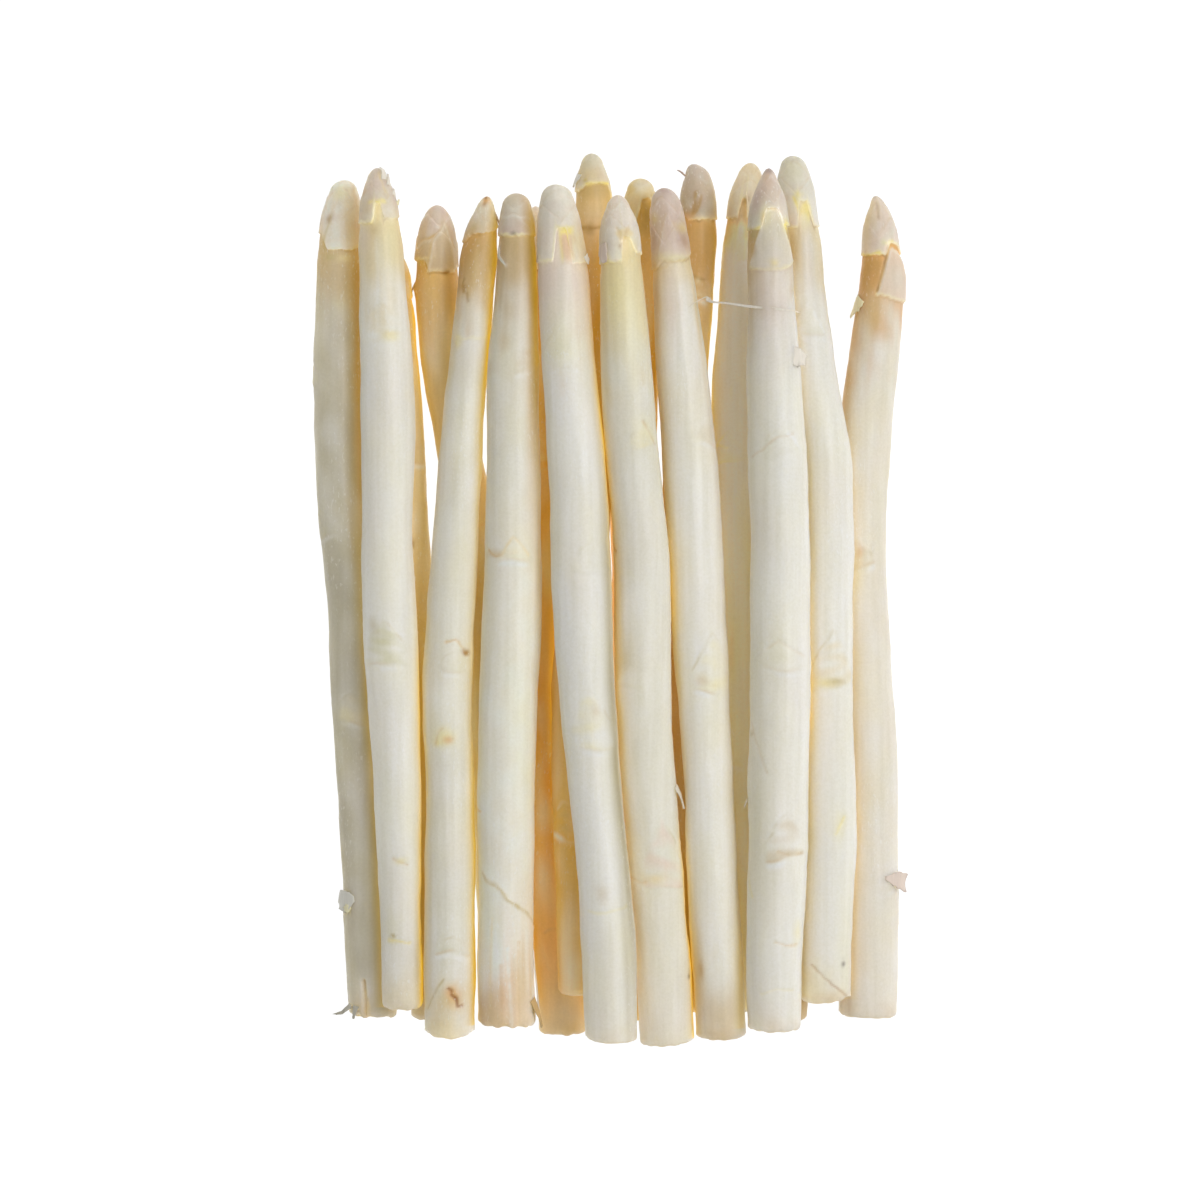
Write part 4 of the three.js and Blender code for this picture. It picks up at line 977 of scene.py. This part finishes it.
def body_of(spear, spears):
    """The closed surface of a spear: its side, row by row, its cut end, and a point at each end."""
    columns = FLOOR_COLUMNS if spear.name in FLOOR_LAYER else COLUMNS
    angle = (np.arange(columns) + 0.5) * 360 / columns
    s = np.concatenate([head_rows(spear, angle), stem_rows(spear)[:, None] + 0 * angle])
    around = angle + 0 * s
    skin = Skin(spear, s, around)
    radius = skin.bare + skin.lift * rise(s, -1.5, 1.5)
    points = spear.point(s, around, radius)
    # Painted shade and light: where other spears shut the flesh in, its colour turns golden and it gives off
    # golden light; a spear's own painted light adds to that.
    painted_gap_share = gap_shade_share(spear, points, around, spears)[..., None]
    painted_shade_share = np.minimum(1.15 * painted_gap_share ** GAP_SHADE_BEND, 0.95)
    light = painted_gap_share ** PAINTED_GAP_LIGHT_BEND + spear.look.get("lit", 0)
    colours = np.concatenate([skin.colour * (1 - painted_shade_share) + GAP_SHADE_TINT * painted_shade_share, light], axis=-1)
    edge = bevel_of(spear, angle, radius[-1])
    edge_tint = colours[-1] * 0.7 + np.append(linear(TAN), 0) * 0.3
    face_points, face_tints = cut_face(spear, edge[-1])
    grid = np.concatenate([points, edge, face_points])
    tints = np.concatenate([colours, [colours[-1], *[edge_tint] * (len(edge) - 1)], face_tints])
    tip = spear.point(np.array([0.0]), np.array([90.0]), np.array([0.0]))
    butt = face_points[-1].mean(0)[None]
    shape = Shape()
    shape.add(
        np.concatenate([tip, grid.reshape(-1, 3), butt]),
        np.concatenate([colours[0, :1], tints.reshape(-1, 4), face_tints[-1, :1]]),
        tube_faces(len(grid), columns),
    )
    return shape


def sheet(top, low, colour, shape):
    """A thin closed sheet between two grids of points."""
    n, m = top.shape[:2]
    index = np.arange(n * m).reshape(n, m)
    faces = []
    for i in range(n - 1):
        for j in range(m - 1):
            a, b, c, d = index[i, j], index[i, j + 1], index[i + 1, j + 1], index[i + 1, j]
            faces += [(a, b, c, d), (d + n * m, c + n * m, b + n * m, a + n * m)]
    border = [*index[0, :], *index[1:, -1], *index[-1, -2::-1], *index[-2:0:-1, 0]]
    for a, b in zip(border, border[1:] + border[:1]):
        faces.append((b, a, a + n * m, b + n * m))
    tint = np.ones((2 * n * m, 4)) * np.append(linear(colour), 0)
    shape.add(np.concatenate([top.reshape(-1, 3), low.reshape(-1, 3)]), tint, faces, material=1)


def flap_of(spear, shape, colour, path):
    """Loose skin along a path of distance, angle, height and half width."""
    rows, columns = FLAP_GRID
    along = np.linspace(0, 1, rows)
    stations = np.linspace(0, 1, len(path))
    s, angle, height, width = (np.interp(along, stations, column) for column in zip(*path))
    across = np.linspace(-1, 1, columns)
    radius = np.maximum(spear.flesh(s), 1)
    run = np.gradient(s)
    swing = np.gradient(np.radians(angle)) * radius
    span = np.hypot(run, swing)
    draw = np.random.default_rng(spear.seed * 7 + len(shape.points))
    frayed = width[:, None] * (1 + FLAP_FRAY * draw.normal(size=(rows, 1))) * across
    ss = s[:, None] - (swing / span)[:, None] * frayed
    aa = angle[:, None] + np.degrees((run / span / radius)[:, None] * frayed)
    flesh = spear.flesh(ss)
    over = flesh + height[:, None] * (1 + FLAP_CURL * across ** 2)
    low = spear.point(ss, aa, np.maximum(over, flesh - SKIN))
    sheet(spear.point(ss, aa, over + SKIN), low, colour, shape)


def roof(spears, x, y):
    """The height of the highest spear at a place seen from above."""
    best = 0.0
    for spear in spears:
        s = spear.tip - y
        if 0 < s < spear.length:
            cx, cz = spear.centre(np.array(s))
            square = float(spear.flesh(np.array(s))) ** 2 - (x - float(cx)) ** 2
            if square > 0:
                best = max(best, float(cz) + math.sqrt(square))
    return best


def shred_of(spears, material):
    """The torn strip of peel, drawn tight over the spears that carry it."""
    rows, columns = SHRED_GRID
    x, y, half = (through(np.linspace(0, 1, rows), np.linspace(0, 1, len(SHRED)), c) for c in zip(*SHRED))
    carried = np.array([roof(spears, a, b) for a, b in zip(x, y)]) + SHRED_GAP
    height = carried.copy()
    for _ in range(SHRED_ROUNDS):
        height[1:-1] = np.maximum(carried[1:-1], (height[:-2] + height[2:]) / 2 - SHRED_SAG)
    middle = np.stack([x, y, height], axis=-1)
    side = np.stack([-np.gradient(y), np.gradient(x)], axis=-1)
    side /= np.linalg.norm(side, axis=1)[:, None]
    across = np.linspace(-1, 1, columns)
    draw = np.random.default_rng(5)
    spread = half[:, None] * (1 + SHRED_FRAY * draw.normal(size=(rows, 1))) * across
    top = np.repeat(middle[:, None], columns, axis=1)
    top[..., :2] += side[:, None] * spread[..., None]
    top[..., 2] += SHRED_CURL * half[:, None] * across ** 2
    low = top - np.array([0, 0, SHRED_SKIN])
    shape = Shape()
    sheet(top * MM, low * MM, WARM, shape)
    return shape.build("peel_shred", material, material)


# ---------------------------------------------------------------- materials
class Material:
    """A material whose colour comes from the mesh, with helpers for its nodes."""

    def __init__(self, name, roughness):
        self.made = bpy.data.materials.new(name)
        self.made.use_nodes = True
        self.tree = self.made.node_tree
        self.shader = self.tree.nodes["Principled BSDF"]
        self.feed(self.shader, {"Roughness": roughness, "IOR": FLESH_IOR})
        tint = self.tree.nodes.new("ShaderNodeAttribute")
        tint.attribute_name = "tint"
        # The alpha of the mesh colour carries the strength of the painted golden light.
        self.tint, self.painted_gap_share = tint.outputs["Color"], tint.outputs["Alpha"]
        self.place = self.tree.nodes.new("ShaderNodeTexCoord").outputs["Object"]

    def feed(self, node, inputs):
        """Gives inputs of a node a plain value or the output of another node."""
        for label, source in inputs.items():
            if isinstance(source, bpy.types.NodeSocket):
                self.tree.links.new(source, node.inputs[label])
            else:
                node.inputs[label].default_value = source

    def add(self, kind, inputs):
        made = self.tree.nodes.new("ShaderNode" + kind)
        self.feed(made, inputs)
        return made

    def noise(self, scale, detail, stretch=1.0):
        """Random values about 0.5, with scale lumps in a metre. A stretch below 1 draws them out along Y."""
        mapping = self.add("Mapping", {"Vector": self.place, "Scale": (1.0, stretch, 1.0)})
        fed = {"Vector": mapping.outputs["Vector"], "Scale": scale, "Detail": detail}
        return self.add("TexNoise", fed).outputs["Fac"]

    def remap(self, value, start, end, low, high):
        limits = {"From Min": start, "From Max": end, "To Min": low, "To Max": high}
        return self.add("MapRange", {"Value": value, **limits}).outputs["Result"]

    def maths(self, operation, first, second):
        made = self.add("Math", {0: first, 1: second})
        made.operation = operation
        return made.outputs["Value"]

    def mix(self, kind, share, first, second):
        made = self.add("Mix", {})
        made.data_type = "RGBA"
        made.blend_type = kind
        self.feed(made, {"Factor": share, "A": first, "B": second})
        return made.outputs["Result"]

    def shaded(self, red, green, blue):
        """The mesh's colour, times a share for each channel."""
        tone = self.add("CombineColor", {"Red": red, "Green": green, "Blue": blue})
        return self.mix("MULTIPLY", 1.0, self.tint, tone.outputs["Color"])

    def relief(self, height, strength, depth):
        made = self.add("Bump", {"Strength": strength, "Distance": depth * MM, "Height": height})
        self.feed(self.shader, {"Normal": made.outputs["Normal"]})


def flesh_material(name, roughness):
    """Moist plant flesh: light spreads under it, and it has fibres and grain. Small white dots in patches
    are painted glints of wetness, and the flesh gives off painted golden light in the gaps between spears.
    """
    flesh = Material(name, roughness)
    fibres = flesh.remap(flesh.noise(600, 5, stretch=0.04), 0.3, 0.7, 0, 0.6)
    grain = flesh.remap(flesh.noise(1500, 2), 0.3, 0.7, 0, 0.4)
    both = flesh.maths("ADD", fibres, grain)
    colour = flesh.shaded(*(flesh.remap(both, 0, 1, low, 1.04) for low in (0.915, 0.905, 0.855)))
    # Painted glints: small white dots in patches, screened onto the colour, stand in for the glints of a wet
    # surface; they also roughen the relief.
    glint_dots = flesh.remap(flesh.noise(1900, 1, stretch=0.35), 0.63, 0.7, 0, 1)
    patches = flesh.remap(flesh.noise(55, 2, stretch=0.4), 0.46, 0.6, 0, 0.9)
    painted_glint = flesh.maths("MULTIPLY", glint_dots, patches)
    flesh.relief(flesh.maths("ADD", both, painted_glint), 0.4, 0.06)
    flesh.shader.subsurface_method = "BURLEY"
    flesh.feed(flesh.shader, {
        "Base Color": flesh.mix("SCREEN", painted_glint, colour, (0.34, 0.34, 0.32, 1)),
        "Coat Weight": 0.2,
        "Coat Roughness": 0.3,
        "Subsurface Weight": 1.0,
        "Subsurface Scale": SPREAD * MM,
        "Subsurface Radius": SPREAD_SHARES,
        # Painted light: golden light that the flesh gives off where other spears shut it in.
        "Emission Color": PAINTED_GAP_LIGHT,
        "Emission Strength": flesh.remap(flesh.painted_gap_share, 0, 1, 0, PAINTED_GAP_LIGHT_POWER),
    })
    flesh.made.cycles.emission_sampling = "NONE"
    return flesh.made


def peel_material():
    """Thin skin and peel, drier than the flesh."""
    peel = Material("loose_peel", 0.5)
    fibres = peel.noise(1600, 2, stretch=0.1)
    shade = peel.remap(fibres, 0.3, 0.7, 0.9, 1.0)
    peel.feed(peel.shader, {"Base Color": peel.shaded(shade, shade, shade)})
    peel.relief(fibres, 0.3, 0.05)
    return peel.made


def floor_material():
    """A white that no shadow darkens much."""
    material = bpy.data.materials.new("pale_floor")
    material.use_nodes = True
    inputs = material.node_tree.nodes["Principled BSDF"].inputs
    inputs["Base Color"].default_value = (0.1, 0.1, 0.1, 1)
    inputs["Roughness"].default_value = 0.9
    inputs["Emission Color"].default_value = (1, 1, 1, 1)
    inputs["Emission Strength"].default_value = FLOOR_GLOW
    return material


# ---------------------------------------------------------------- the bunch
spears = [Spear(name) for name in SPEARS]
# Two copies of one material, for the spears in the light and for those in shade: they differ only in
# roughness, as the shade is painted into the mesh colours.
pale = flesh_material("pale_flesh", 0.55)
shaded = flesh_material("shaded_flesh", 0.6)
peel = peel_material()

for spear in spears:
    shape = body_of(spear, spears)
    for colour, path in FLAPS.get(spear.name, []):
        flap_of(spear, shape, colour, path)
    in_shade = spear.name in SHADED
    piece = shape.build(spear.name + "_fine", shaded if in_shade else pale, peel)
    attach(piece, "root")
    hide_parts(spear.name)

shred = shred_of(spears, peel)
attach(shred, "root")

# ---------------------------------------------------------------- floor, light and camera, in metres
FLOOR_SIZE = 6
FLOOR_DROP = 0.0002  # so that the floor doesn't lie in the spears' flat undersides
FLOOR_GLOW = 1.0  # the floor gives off its own white, as the photo's background is an even white
WORLD_LIGHT = 0.32
LAMP_PLACE = (1.0, 0.42, 1.75)  # on the right and a little toward the tips, as the photo's shading says
LAMP_SIZE = 1.0
LAMP_POWER = 21.6
CAMERA_PLACE = (-0.002255, -0.000772, 1.5)  # over the middle of the photo
LENS = 171  # in millimetres, like the sensor's width
SENSOR = 36
CLIP = (0.01, 20)  # the nearest and the furthest that the camera sees

bpy.ops.mesh.primitive_plane_add(size=FLOOR_SIZE, location=(0, 0, -FLOOR_DROP))
floor = bpy.context.object
floor.name = "floor"
floor.data.materials.append(floor_material())

scene = bpy.context.scene
scene.world = bpy.data.worlds.new("studio")
scene.world.use_nodes = True
background = scene.world.node_tree.nodes["Background"]
background.inputs["Color"].default_value = (1, 1, 1, 1)
background.inputs["Strength"].default_value = WORLD_LIGHT

lamp = bpy.data.objects.new("key", bpy.data.lights.new("key", "AREA"))
lamp.data.size = LAMP_SIZE
lamp.data.energy = LAMP_POWER
lamp.location = LAMP_PLACE
lamp.rotation_mode = "QUATERNION"
lamp.rotation_quaternion = (-lamp.location).to_track_quat("-Z", "Y")
scene.collection.objects.link(lamp)

scene.camera = bpy.data.objects.new("camera", bpy.data.cameras.new("camera"))
scene.camera.data.lens = LENS
scene.camera.data.sensor_width = SENSOR
scene.camera.data.clip_start, scene.camera.data.clip_end = CLIP
scene.camera.location = CAMERA_PLACE
scene.collection.objects.link(scene.camera)

scene.view_settings.view_transform = "Standard"
scene.cycles.use_denoising = True
scene.cycles.max_bounces = 16
scene.cycles.diffuse_bounces = 6
